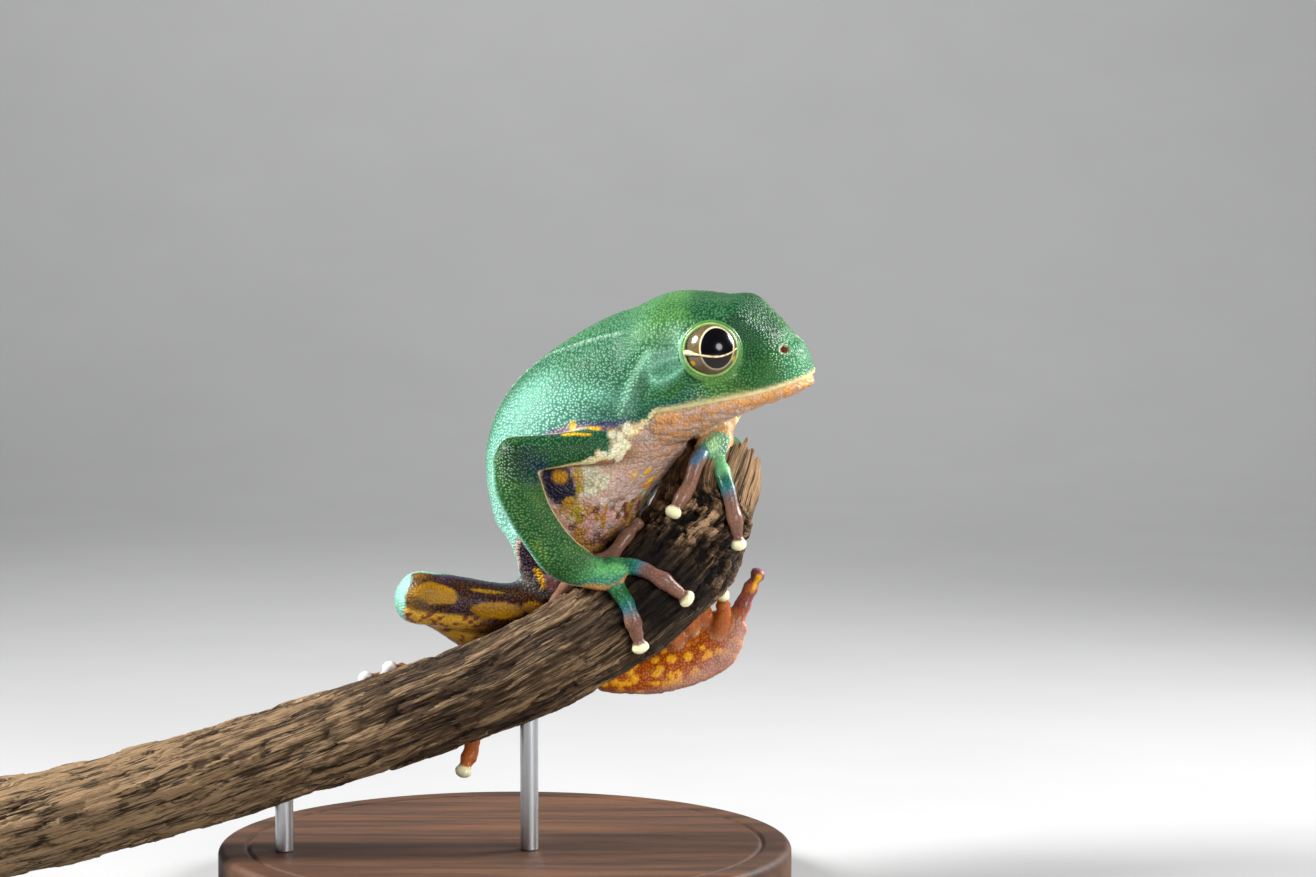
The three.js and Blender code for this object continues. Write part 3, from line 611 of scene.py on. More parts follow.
# %% [markdown]
# ## Noise and granules
# Skin and bark are never even. Two kinds of unevenness do most of the work: smooth noise, which is random
# values on a lattice blended between its corners, and cobbles, where every point belongs to the nearest
# of many scattered seeds and each cell rises to a small dome.

# %% Noise and cobbles
def lattice_value(cells, seed):
    """A repeatable random number from 0 to 1 for each whole-number cell, mixed by large primes."""
    x, y, z = (cells[..., i].astype(np.int64) for i in range(3))
    mixed = (x * 73856093) ^ (y * 19349663) ^ (z * 83492791) ^ (seed * 2654435761)
    mixed = (mixed ^ (mixed >> 13)) * 1274126177
    mixed = (mixed ^ (mixed >> 16)) & 0xFFFFFF
    return mixed / float(0x1000000)


def noise(places, size, seed=1, octaves=1):
    """Smooth noise from 0 to 1: lattice values `size` apart, blended by smooth steps. Each further octave
    is half as large and counts half as much."""
    total, weight, reach = 0.0, 0.0, 1.0
    for octave in range(octaves):
        scaled = np.asarray(places, float) / (size * reach)
        corner = np.floor(scaled)
        x = scaled - corner
        x = x * x * (3 - 2 * x)
        value = 0.0
        for dx in (0, 1):
            for dy in (0, 1):
                for dz in (0, 1):
                    part = np.prod(np.where((dx, dy, dz), x, 1 - x), -1)
                    value = value + part * lattice_value(corner + (dx, dy, dz), seed + octave)
        total, weight, reach = total + value * reach, weight + reach, reach / 2
    return total / weight


def cobbles(places, size, seed=1):
    """For each point: the distance to the nearest scattered seed, as a share of `size`, a random number
    for that seed's cell, and the seed's own place."""
    scaled = np.asarray(places, float) / size
    corner = np.floor(scaled)
    best, owner, home = np.full(len(scaled), 9.0), np.zeros(len(scaled)), scaled.copy()
    for dx in (-1, 0, 1):
        for dy in (-1, 0, 1):
            for dz in (-1, 0, 1):
                cell = corner + (dx, dy, dz)
                jitter = np.stack([lattice_value(cell, seed + i) for i in range(3)], -1)
                seed_place = cell + 0.15 + 0.7 * jitter
                gap = np.linalg.norm(seed_place - scaled, axis=1)
                closer = gap < best
                owner = np.where(closer, lattice_value(cell, seed + 7), owner)
                home = np.where(closer[:, None], seed_place, home)
                best = np.where(closer, gap, best)
    return best, owner, home * size


def domed(gap):
    """A cell's dome, 1 - (gap / 0.72)^2, and no lower than 0."""
    return np.clip(1 - (gap / 0.72) ** 2, 0, 1)


# %% [markdown]
# ## The lines and spots of the body
# Seams, folds and patches are put down once, as short smooth lines and rows of spots in the figure's own
# millimetres. Carving and colouring then both measure their distance from the same lines. What lies on
# one side of the trunk or head is repeated on the other side, mirrored.

# %% Anchor lines
def mirrored_on_head(corners):
    """The same corners with left and right exchanged in the head's frame."""
    return from_head(to_head(np.asarray(corners, float)) * (1, -1, 1))


def on_trunk(corners):
    """Points on the trunk's skin, given as (station, degrees from the middle of the back)."""
    corners = np.asarray(corners, float)
    place = corners[:, 0] * trunk.stretch
    k = np.minimum(place.astype(int), len(trunk.centre) - 2)
    x = (place - k)[:, None]
    rows = (trunk.centre, trunk.side, trunk.top, trunk.size)
    middle, side, top, size = (row[k] * (1 - x) + row[k + 1] * x for row in rows)
    turn = np.radians(90 - corners[:, 1])
    across, rise = section(turn, size[:, 0], size[:, 1], size[:, 2])
    return middle + side * across[:, None] + top * rise[:, None]


head_forward, head_left, head_up = to_head(points).T
cheek = np.abs(head_left)
mouth_height = head_up - (-8.3 + 0.02 * head_forward)  # how far above the line of the mouth
on_head = share_of("head")
mouth_reach = ease(-10.0, -8.2, head_forward) * on_head

trunk_station, _, trunk_turn = places[1]
from_back = np.abs((90 - trunk_turn + 180) % 360 - 180)  # degrees from the middle of the back

FOLD = [(-0.9, -3.4, 13.1), (-2.3, -3.0, 11.2), (-3.3, -2.5, 9.3), (-4.3, -1.8, 6.8), (-5.4, -1.5, 3.6)]
WHITE_LINE = [(0.25, 38), (0.9, 39), (1.6, 41), (2.3, 42), (3.0, 45), (3.7, 50)]
CHEST_LINE = [(-0.5, -2.3, 4.3), (-2.8, -0.7, 1.9), (-4.4, -1.0, 0.9)]
fold_gap = np.minimum(*(distance_to_line(points, corners)[0] for corners in (FOLD, mirrored_on_head(FOLD))))
ridge = [distance_to_line(points, on_trunk(np.array(WHITE_LINE) * (1, sign)), 240) for sign in (1, -1)]
ridge_gap = np.minimum(ridge[0][0], ridge[1][0])
ridge_place = np.where(ridge[0][0] < ridge[1][0], ridge[0][1], ridge[1][1])
print("ridge points:", int((ridge_gap < 0.6).sum()), "fold points:", int((fold_gap < 1).sum()))

# %% [markdown]
# ## Carving the face
# The mouth is a fine groove under a soft rolled lip. The eardrum is a ring behind the eye, with a fold
# of skin that hangs from the eye's corner over it and down to the shoulder. The nostrils are small pits
# with raised rims. All are pushed in or out along the skin's own normals, by bells and smooth steps.

# %% Carve the head and body
EAR = np.array((-7.3, 12.0, -2.0))
NOSTRIL = np.array((10.6, 3.9, -2.3))
head_mirrored = np.stack([head_forward, cheek, head_up], 1)
ear_gap = np.linalg.norm((head_mirrored - EAR) * (1, 0.4, 1), axis=1)
nostril_gap = np.linalg.norm((head_mirrored - NOSTRIL) * (1, 0.6, 1), axis=1)

normals = read_normals()
snub = -0.7 * on_head * ease(9.0, 13.0, head_forward)  # the snout is a little shorter than the solid's
carving = -0.65 * on_head * hump(head_forward - 10.6, 2.2) * ease(-3.4, -1.4, head_up)
carving += mouth_reach * (-0.5 * hump(mouth_height, 0.3) + 0.24 * hump(mouth_height - 0.75, 0.45)
                          + 0.16 * hump(mouth_height + 0.75, 0.45))
carving += on_head * (0.28 * hump(ear_gap - 1.6, 0.35) - 0.18 * ease(1.4, 0.9, ear_gap))
carving += 0.42 * hump(fold_gap, 0.8) - 0.16 * hump(fold_gap - 1.7, 0.7)
carving += on_head * (0.2 * hump(nostril_gap - 0.85, 0.3) - 0.75 * hump(nostril_gap, 0.5))
bead = 0.5 + 0.5 * np.cos(2 * np.pi * ridge_place * 30)
carving += ((0.08 + 0.2 * bead) * hump(ridge_gap, 0.5) * ease(0.0, 0.1, ridge_place)
            * ease(1.0, 0.85, ridge_place))

belly_side = share_of("trunk") * ease(112, 128, from_back)
throat = on_head * ease(0.3, -0.6, mouth_height) * ease(-14, -12, head_forward)
throat = throat + on_head * ease(-9.2, -10.5, head_forward) * ease(-9.5, -10.5, head_up)
throat = np.clip(throat, 0, 1)
under = np.clip(belly_side + throat, 0, 1)
GRANULE, FINE_GRANULE = 1.3, 0.8  # mm between the middles of neighbours, on the belly and elsewhere
cell_gap, cell_value, cell_home = cobbles(points, GRANULE, seed=11)
dome = domed(cell_gap)
fine_gap, fine_value, fine_home = cobbles(points, FINE_GRANULE, seed=23)
fine_dome = domed(fine_gap)
for leg in (thigh_right, thigh_left):  # the thigh's upper side dips towards the hip, and its knee swells
    carving -= 1.5 * part_weight(leg) * ease(3.5, 1.6, station_on(leg)) * ease(0.0, 0.8, normals[:, 2])
    carving += 0.55 * part_weight(leg) * ease(3.5, 4.1, station_on(leg))
for body in digits:  # each digit swells at its joint and narrows before its disc
    way_along = station_on(body) * body.stretch / (len(body.centre) - 1)
    carving += part_weight(body) * (0.2 * hump(way_along - 0.52, 0.07) - 0.14 * hump(way_along - 0.78, 0.08)
                                    - 0.1 * hump(way_along - 0.36, 0.06))
carving += share_of("finger", "toe") * 0.16 * (noise(points, 0.9, seed=77, octaves=2) - 0.5)
carving += (0.24 * dome * belly_side + 0.32 * (dome - 0.3) * throat
            + 0.07 * fine_dome * share_of("thigh", "shank")
            + 0.16 * dome * share_of("sole"))
carving += 0.08 * (fine_dome - 0.4) * (on_head + share_of("trunk")) * (1 - under)
HIP_SHIFTS = [  # where the back runs into the hip: the middle of each push, its width and the way it goes
    ((-24.4, 3.6, -13.2), 2.2, (1.35, 0.45, 0.3)), ((-25.2, 4.5, -10.4), 4.2, (1.15, 0.1, 0.0)),
    ((-21.6, 4.8, -18.2), 2.6, (-1.0, -0.2, 0.2)), ((-21.2, 6.8, -21.6), 2.0, (-0.6, 0.0, 0.1)),
]
hip_shift = sum(hump(from_point(middle), width)[:, None] * push for middle, width, push in HIP_SHIFTS)
points = points + normals * carving[:, None] + HEAD_AXES[0] * snub[:, None] + hip_shift
print("carved between", round(carving.min(), 2), "and", round(carving.max(), 2), "mm")

# %% [markdown]
# ## Eye sockets and lids
# Round each eye the skin rises to a thick lid and then dives behind the eyeball, so that the two meet in
# a clean round edge. Working in distance and angle from the eyeball's centre makes this a single profile.

# %% Shape the lids
LID_REACH = 9.4  # mm from the eye's centre, as far as the lids are shaped
LID_WIDTH = 7.0  # degrees from the lid's edge to its crest


def lid_edge(around):
    """The half-angle of the opening between the lids, in degrees: wider at the front and rear corners."""
    return 66.0 + 5.0 * hump(np.cos(around) + 1.0, 0.35) + 2.0 * hump(np.cos(around) - 1.0, 0.25)


def eye_frame(side):
    """The eye's axis, and its forward and up directions across that axis."""
    axis = eye_axes[side]
    forward = unit(HEAD_AXES[0] - axis * (HEAD_AXES[0] @ axis))
    upward = HEAD_AXES[2] - axis * (HEAD_AXES[2] @ axis) - forward * (HEAD_AXES[2] @ forward)
    return axis, forward, unit(upward)


lid_mask = np.zeros(len(points))
for side in SIGN:
    axis, forward, upward = eye_frame(side)
    offset = points - eye_centres[side]
    reach = np.linalg.norm(offset, axis=1)
    toward = offset / reach[:, None]
    angle = np.degrees(np.arccos(np.clip(toward @ axis, -1, 1)))
    around = np.arctan2(toward @ upward, toward @ forward)
    beyond = angle - lid_edge(around)
    swell = 0.25 * (1 - np.sin(around))  # the lower lid is fuller than the upper
    over_lid = beyond / LID_WIDTH
    roll = np.sqrt(np.clip(over_lid, 0, 1) * np.clip(2 - over_lid, 0, 1))
    lid = EYE_RADIUS + 0.12 + (0.42 + swell) * roll
    groove = 0.3 * hump(beyond - 17.0, 4.0) + 0.1 * hump(beyond - 27.0, 4.0)
    outside = lid + (reach - lid) * ease(8.0, 26.0, beyond) - groove
    shaped = np.where(beyond > 0, outside, EYE_RADIUS - 1.1 * ease(0.0, -5.0, beyond))
    lip_free = ease(0.9, 2.6, mouth_height)  # the lips stay as they are
    shaped = reach + (shaped - reach) * ease(LID_REACH, 8.0, reach) * lip_free
    near = (angle < 110) & (reach < LID_REACH)
    points[near] = (eye_centres[side] + toward * shaped[:, None])[near]
    lid_mask = np.maximum(lid_mask, np.where(near, ease(10.5, 7.0, beyond) * ease(6.3, 5.5, shaped), 0))
write_points(melted, points)
normals = read_normals()
print("lid points:", int((lid_mask > 0.5).sum()))

# %% [markdown]
# ## The frog's colours
# The markings follow the body: green above, lilac grey and orange below, hidden faces of the legs purple
# brown with mustard blotches, and cream along every border. A painted image would need a UV map and would
# blur at its seams. Here each marking is a formula of the places worked out above, laid over the last
# one, and kept on the mesh as a colour at each point.

# %% Paint layers
def linear(colour):
    """A hex code as linear light: ((c + 0.055) / 1.055)^2.4 for each channel. Other colours are kept."""
    if not isinstance(colour, str):
        return np.asarray(colour)
    channels = np.array([int(colour[i:i + 2], 16) / 255 for i in (0, 2, 4)])
    return np.where(channels <= 0.04045, channels / 12.92, ((channels + 0.055) / 1.055) ** 2.4)


GREEN, DEEP_GREEN, MINT = linear("17552b"), linear("0b3b22"), linear("93d3c0")
LEAF, TEAL, BLUE = linear("4f8a34"), linear("14605c"), linear("2f6e86")
CREAM, WHITE_CREAM, DISC_CREAM = linear("ecd9a0"), linear("ece6c4"), linear("f3efbf")
PURPLE, MUSTARD, ORANGE = linear("2a1a30"), linear("966a06"), linear("e08a32")
YOLK, INK, INDIGO = linear("f2b60c"), linear("17172a"), linear("352f66")
FLESH, SOLE, PINK = linear("785443"), linear("a04406"), linear("cf98a0")

tone = np.tile(GREEN, (len(points), 1))


def over(mask, colour):
    """Lays a colour over what is there, as thickly as the mask says."""
    global tone
    mask = np.clip(mask, 0, 1)[:, None]
    tone = tone * (1 - mask) + linear(colour) * mask


def half_turn(degrees):
    """The same angle from -180 to 180 degrees."""
    return (degrees + 180) % 360 - 180


def nearest_section(body, station):
    """The number of a sweep's section nearest to each station."""
    return np.clip(np.round(station * body.stretch).astype(int), 0, len(body.centre) - 1)


def facing(body, direction):
    """The angle round one sweep between each point and a direction, in degrees."""
    station, _, turn = places[bodies.index(body)]
    k, direction = nearest_section(body, station), np.array(direction, float)
    way = np.degrees(np.arctan2(body.top[k] @ direction, body.side[k] @ direction))
    return np.abs(half_turn(turn - way))


def spots(lines, soft=0.3, at=None):
    """1 inside round-ended strokes (from, to, radius) in the figure's mm, and on the trunk's other side.

    With `at`, each point is judged by another place, such as the middle of its granule, so that whole
    granules are in or out.
    """
    at = points if at is None else at
    found = np.zeros(len(points))
    for spot, allowed in ((at, 1), (across(at), on_head < 0.3)):
        for start, end, radius in lines:
            start, end = np.array(start), np.array(end)
            run = end - start
            x = np.clip((spot - start) @ run / max(run @ run, 1e-9), 0, 1)[:, None]
            gap = np.linalg.norm(spot - start - x * run, axis=1) + wobble
            found = np.maximum(found, allowed * ease(radius + soft, radius - soft, gap))
    return found


def across(at):
    """The same places on the trunk's other side."""
    k = nearest_section(trunk, trunk_station)
    sideways = ((at - trunk.centre[k]) * trunk.side[k]).sum(1, keepdims=True)
    return at - 2 * sideways * trunk.side[k]


wobble = 0.7 * (noise(points, 1.6, seed=5, octaves=2) - 0.5)
broad = noise(points, 7.0, seed=9, octaves=2)
patchy = noise(points, 2.6, seed=31, octaves=2)
print("painting on", len(points), "points; patches up to", patchy.max().round(2))

# %% [markdown]
# ### Green and its border
# The green ends at a line that runs from the corner of the mouth to the groin. On the arms it covers the
# whole outer face. On the legs only a narrow strip along the top stays green.

# %% The green border
behind_mouth = -8.48 + 0.67 * (head_forward + 9.2)
jaw_height = head_up - np.where(head_forward > -9.2, -8.3 + 0.02 * head_forward, behind_mouth)
flank_limit = np.interp(trunk_station, [0, 1.5, 2.4, 3.0, 3.6, 4.3, 5.2, 6.0, 6.8, 8.0],
                        [108, 114, 119, 108, 103, 99, 98, 96, 91, 70])
GREEN_SIDES = [  # which way the middle of each green strip faces, and half its width in degrees
    (upper_arm_right, (0, -1, 0.12), 88), (forearm_right, (0, -1, 0), 84),
    (upper_arm_left, (0.2, 0.3, 1), 82), (forearm_left, (0.3, -0.5, 0.8), 86),
    (palm_right, (0.2, -0.7, 0.68), 78), (palm_left, (0.1, -0.35, 0.93), 80),
    (thigh_right, (0, 0.35, 1), 28), (thigh_left, (0, 0.35, 1), 28),
    (shank_right, (0, 0.6, -1), 30), (shank_left, (0.2, 0.6, -1), 30),
    (sole_right, (-0.1, 0.9, -0.3), 55), (sole_left, (0.45, 0.85, -0.3), 62),
]
TRUNK_RADIUS = DIGIT_LENGTH = 12.0  # mm, round numbers that turn an angle or a share into a distance
MOST = 4.0  # a limb's own border counts for no more than this, in mm


def in_stations(body):
    """A sweep's length in stations."""
    return (len(body.centre) - 1) / body.stretch


# how far inside the green each point is, in mm
flank_depth = (flank_limit - from_back) * math.pi / 180 * TRUNK_RADIUS
inside = on_head * jaw_height + share_of("trunk") * flank_depth
for body, way, half_angle in GREEN_SIDES:
    depth = (half_angle - facing(body, way)) * math.pi / 180 * body.size.mean()
    if body.kind == "thigh":  # the knee is green all round
        end = body.centre[-1]
        depth = np.maximum(depth, (points - end) @ unit(end - body.centre[-8]) - 2.3 + 2.0 * (patchy - 0.5))
    if body.kind == "shank":
        depth = np.maximum(depth, (0.05 - station_on(body)) * 6.0)
    inside = inside + part_weight(body) * np.clip(depth, -MOST, MOST)
for body in digits:
    depth = (body.green_share - station_on(body) / in_stations(body)) * DIGIT_LENGTH
    inside = inside + part_weight(body) * np.clip(depth, -MOST, MOST)
inside = inside + 0.5 * wobble
green = ease(-0.15, 0.25, inside)

GREEN_FINGER, OUTER_TOE, TOP_TOES = digits[5], digits[14], digits[8:10]
FLESHY_TIPS = (digits[2], OUTER_TOE)  # two discs that are as brown as their digits
disc = np.zeros(len(points))
for body in digits:
    if body not in FLESHY_TIPS:
        length = in_stations(body)
        disc = np.maximum(disc, part_weight(body) * ease(length - 0.72, length - 0.42, station_on(body)))
print("green:", round(float(green.mean()), 2), "of the points; discs:", int((disc > 0.5).sum()))

# %% [markdown]
# ### Undersides, legs and digits
# Under the green lie the colours that flash when the frog moves. Each part gets its own ground colour
# first, and its blotches and granules after.

# %% Paint the ground colours
tips = np.zeros((len(points), 4))  # the colour of the granules' tips, and how strong it is


def tip(mask, colour, strength):
    """Gives the granules' tips a colour and a strength where the mask is."""
    global tips
    mask = np.clip(mask, 0, 1)[:, None]
    tips = tips * (1 - mask) + np.append(linear(colour), strength) * mask


over(0.7 * ease(0.35, 0.75, broad), 0.6 * GREEN + 0.4 * LEAF)
over(0.55 * ease(0.62, 0.3, broad), DEEP_GREEN)
tip(np.ones(len(points)), "8cc98a", 0.2)
body_part = share_of("trunk")
limbs_part = share_of("arm", "palm")
leg_part = share_of("thigh", "shank")
# painted sheen: mint over the rear flank, with near-white glints on its granules, standing in for light on
# wet skin
painted_rear_sheen = body_part * ease(1.7, 3.0, trunk_station) * ease(50, 74, from_back)
over(0.75 * body_part * ease(-0.4, 1.0, trunk_station), "2b6848")
# painted shade: a darker teal band low on the front of the flank, above the arm
over(0.6 * body_part * hump(trunk_station - 2.0, 0.8) * ease(102, 114, from_back), "1d6458")
# painted sheen: a pale mint band low on the front of the flank
over(0.6 * body_part * hump(trunk_station - 1.55, 0.75) * hump(from_back - 94, 11), "7cc4ae")
over(0.75 * painted_rear_sheen, "62a48e")
# mint on the rear of the back: partly the rump's own paler green, partly a painted sheen
over(0.75 * body_part * ease(3.2, 4.4, trunk_station) * ease(40, 70, from_back), 0.85 * MINT)
tip(body_part, "c4ecd4", 0.32)
tip(0.9 * painted_rear_sheen, "dcfcf0", 0.55)
over(0.85 * share_of("arm"), "13431f")
forearm = part_weight(forearm_right) + part_weight(forearm_left)
over(0.8 * forearm, "265522")
over(0.6 * forearm * ease(0.4, 0.7, patchy), "4a6a22")
tip(share_of("arm"), "9ad08a", 0.26)
# painted rim light: pale mint along the right forearm's outer edge, where the skin faces left
painted_rim_light = part_weight(forearm_right) * ease(62, 84, facing(forearm_right, (0.25, -1, 0)))
over(0.8 * painted_rim_light * ease(0.2, -0.2, normals[:, 0]), "6fc0a8")
inner_elbow = share_of("arm") * ease(4.2, 1.6, from_point((-19.4, -7.2, -3.6)))
over(0.75 * inner_elbow * ease(0.3, 0.6, patchy), "16284c")
# painted shade: the elbow is darkened
over(share_of("arm") * ease(4.2, 1.5, from_point((-22.0, -7.6, -3.0))) * 0.7, "0a2a18")
# the palm is a paler green: partly its own colour, partly a painted highlight
over(0.75 * share_of("palm"), "62ae66")
# painted light: the left palm and wrist are very pale green, standing in for light falling on them from the
# right
lit_left_wrist = ease(3.2, 4.0, station_on(forearm_left)) * part_weight(forearm_left)
over(0.9 * (part_weight(palm_left) + lit_left_wrist), "c2efb4")
over(0.75 * on_head * ease(-7.0, -10.5, head_forward), "3a7556")
# painted sheen: a bluish white streak behind the eye, a highlight on wet skin
painted_sheen_behind_eye = on_head * hump(head_forward + 5.6, 1.7) * ease(-3.5, -1.0, head_up) * ease(5.5, 3.0, head_up)
over(0.8 * painted_sheen_behind_eye, "a9dccb")
under_eye = on_head * ease(-5.0, -3.0, head_forward) * ease(7.0, 4.0, head_forward)
under_eye = under_eye * ease(-2.6, -4.2, head_up)
over(0.5 * on_head * ease(3.4, 1.8, ear_gap), "6ab896")
# painted highlight: a pale ring along the eardrum's raised rim
over(0.5 * on_head * hump(ear_gap - 1.65, 0.3), "a2dcc2")
over(0.6 * under_eye, "33631f")
tip(0.8 * under_eye, "b3d67e", 0.3)
over(on_head * hump(jaw_height - 1.3, 1.0) * ease(1.0, -5.0, head_forward) * 0.85, 0.6 * TEAL)
# the snout tip is paler: partly its own mint, partly a painted highlight
over(0.45 * on_head * ease(9.0, 12.0, head_forward), "4f9f70")
over(0.35 * on_head * ease(1.5, 4.0, head_up) * ease(0.3, 0.7, broad), "5f8f4a")
over(0.3 * body_part * ease(46, 20, from_back), LEAF)

ground = 1 - green
over(ground * body_part, "bda094")
over(ground * body_part * ease(0.35, 0.75, cell_value) * 0.5, "c9a48e")
over(ground * on_head, "d4ac9e")
orange_cells = ease(0.42, 0.52, cell_value + 0.35 * (patchy - 0.5))
over(ground * on_head * orange_cells * 0.75, "dd9440")
over(ground * on_head * ease(2.0, 8.0, head_forward) * 0.6, "bd8038")
over(ground * limbs_part, "a8623a")
over(ground * leg_part, "2c0e09")
over(ground * leg_part * ease(0.35, 0.65, patchy) * 0.7, PURPLE)
over(ground * share_of("sole"), SOLE)
over(ground * share_of("finger"), FLESH)
over(ground * share_of("toe"), 0.2 * FLESH + 0.8 * linear("b45a14"))
tip(ground * body_part, "e8cdb9", 0.3)
tip(ground * on_head, "f3c06a", 0.45)
tip(ground * share_of("sole"), YOLK, 0.3)
tip(ground * leg_part, MUSTARD, 0.3)
tip(ground * share_of("finger", "toe"), "b58a80", 0.25)
print("mean colour so far:", tone.mean(0).round(3))

# %% [markdown]
# ### Blotches, spots and lines
# Now the markings that a visitor would know this frog by: two cream patches on the chest and the dark and
# yellow window on the flank here, then the blotches on the thighs, the beaded line along the back and the
# cream discs in the cells after it.

# %% Paint the markings
rump = body_part * ground * ease(4.6, 5.2, trunk_station)
over(rump * ease(0.4, 1.2, -inside), PURPLE)
flank_gold = body_part * ground * ease(3.9, 4.5, trunk_station) * ease(5.9, 5.3, trunk_station)
flank_gold = flank_gold * ease(118, 132, from_back)
over(flank_gold * ease(0.3, 0.5, cell_value), "a0712a")
over(flank_gold * ease(0.78, 0.86, cell_value), "6a3b2c")
over(flank_gold * ease(0.22, 0.14, cell_value), "b98a7e")

near_arm = share_of("trunk", "arm", "head")
over(0.8 * near_arm * spots([((-16.6, -1.6, 0.9), (-12.4, -1.8, 1.7), 0.8)], soft=0.25), INDIGO)
over(near_arm * spots([((-12.4, -1.8, 1.7), (-5.2, -1.3, 2.2), 0.95)], soft=0.25), INDIGO)
over(0.6 * near_arm * spots([((-18.9, -5.0, 0.8), (-14.0, -4.2, 1.0), 0.35)], soft=0.25), INDIGO)
over(body_part * spots([((-15.8, -2.1, -5.4), (-14.8, -1.8, -8.0), 2.4)]), INK)
tip(body_part * spots([((-15.8, -2.1, -5.4), (-14.8, -1.8, -8.0), 2.6)]), INK, 0.0)
gold_band = spots([((-12.1, -1.7, -4.6), (-12.1, -1.5, -8.2), 0.85)], at=cell_home)
gold_band = np.maximum(gold_band, spots([((-13.6, -1.7, -9.9), (-12.6, -1.0, -12.8), 1.2)], at=cell_home))
over(body_part * gold_band, "937f12")
over(body_part * gold_band * ease(0.5, 0.75, cell_value), "a3761c")
over(body_part * spots([((-15.3, -2.1, -5.7), (-14.9, -2.1, -5.8), 1.05)]), "a8760c")
white_cells = spots([((-10.9, -1.4, -5.5), (-8.4, 0.0, -6.8), 1.45),
                     ((-10.6, -1.0, -7.4), (-9.4, -0.7, -8.0), 1.2)], at=cell_home, soft=0.1)
over(body_part * white_cells, 0.62 * WHITE_CREAM)
over(body_part * white_cells * ease(0.5, 0.72, cell_gap) * 0.8, "8a7a48")
# a faint pale patch: partly cream skin, partly a painted glossy highlight
over(body_part * spots([((-9.4, 0.6, -9.4), (-7.0, 1.8, -10.2), 0.6)], at=cell_home), "cdbcae")
chest = spots([((-6.4, -2.1, 0.3), (-5.4, -1.6, -0.6), 1.75), ((-4.7, -1.1, 1.3), (-4.3, -1.0, 1.9), 1.1),
               ((-9.8, -3.6, -2.8), (-5.6, -1.1, -2.4), 1.35)], soft=0.1, at=cell_home)
over(near_arm * chest, WHITE_CREAM)
over(near_arm * chest * ease(0.52, 0.74, cell_gap) * 0.8, "8f7836")
tip(near_arm * np.maximum(chest, white_cells), "f7f3dc", 0.3)
over(near_arm * spots([((-13.1, -1.9, 1.7), (-13.2, -1.9, 2.3), 0.6),
                       ((-14.4, -4.2, 0.9), (-10.6, -3.6, 1.0), 0.4),
                       ((-10.6, -2.2, 1.7), (-9.2, -2.0, 1.7), 0.45)], soft=0.2), YOLK)
over(near_arm * spots([((-8.9, -1.8, 1.3), (-5.8, -1.3, 1.6), 0.3)], soft=0.2), "c9921f")
over(body_part * ground * ease(0.66, 0.72, fine_value) * ease(2.6, 1.0, trunk_station) * 0.6, "d98a3a")
over(body_part * spots([((-3.6, 2.6, -6.0), (-1.0, 4.4, -5.0), 0.5)], at=cell_home), YOLK)
over(body_part * spots([((0.2, 1.6, -0.9), (0.3, 1.6, -0.9), 0.7),
                        ((2.6, 4.2, -3.4), (2.8, 4.2, -3.4), 0.8),
                        ((-4.6, 1.6, -5.0), (-3.8, 2.0, -5.2), 0.5)], at=cell_home), ORANGE)
over(share_of("trunk", "thigh") * spots([((-18.8, 5.0, -21.4), (-18.2, 5.0, -23.6), 0.7)]), YOLK)
over(body_part * spots([((-16.6, 4.9, -22.2), (-16.2, 4.9, -24.0), 1.2)]), PINK)

# %% [markdown]
# ### Legs
# Both legs carry the same blotches, so these are a table of places on a thigh. The brown flesh under each
# thigh's knee end and along the shin is mottled instead, by the fine granules' own random numbers.

# %% Paint the legs
# the legs' blotches, the same on both: station, degrees round from the top axis, half-length, half-width
BLOTCHES = [(3.62, 22, 0.56, 24), (2.2, -6, 0.56, 17), (2.4, 39, 0.38, 6), (1.42, 3, 0.24, 10),
            (0.5, 40, 0.35, 22), (2.5, -160, 0.6, 25), (1.0, 175, 0.5, 25)]
mottle = ease(0.2, 0.35, fine_value + 0.3 * (patchy - 0.5))
for leg, shin, flip in ((thigh_right, shank_right, 1), (thigh_left, shank_left, -1)):
    on_leg = part_weight(leg)
    station, _, turn = places[bodies.index(leg)]
    blotch = np.zeros(len(points))
    for at, round_by, half_length, half_angle in BLOTCHES:
        turned = half_turn(turn - (90 + flip * round_by))
        gap = np.hypot((station - at) / half_length, turned / half_angle) + 0.6 * wobble
        blotch = np.maximum(blotch, ease(1.1, 0.92, gap))
    round_leg = flip * half_turn(turn - 90)
    under_side = ease(-16, -28, round_leg) * ease(-110, -80, round_leg) * ease(2.2, 2.9, station)
    brown_flesh = np.clip(on_leg * under_side + part_weight(shin) * ease(2.8, 1.5, station_on(shin)), 0, 1)
    over(ground * brown_flesh * mottle, "deaa3c")
    over(ground * brown_flesh * (1 - mottle) * 0.8, "95503a")
    over(on_leg * ground * blotch, MUSTARD)
    over(on_leg * ground * blotch * ease(0.45, 0.8, patchy) * 0.5, "a66c06")
    over(ground * leg_part * hump(inside + 0.5, 0.45) * ease(1.9, 1.2, np.abs(station - 2.0)) * 0.45,
         "2b4a86")
    # the knee's mint cap: partly its own colour, partly a painted highlight
    over(on_leg * green * ease(3.3, 3.9, station), "9fe0cb")

print("blotched share of the left thigh:", round(float((on_leg * blotch).sum() / on_leg.sum()), 2))

# %% [markdown]
# ### Feet, hands and face
# Where green meets flesh on a foot or a hand, a thin pale or blue line runs along the border. Its place is
# measured from that same border, so it can't drift off it. The lips, nostrils, lids and discs come last.

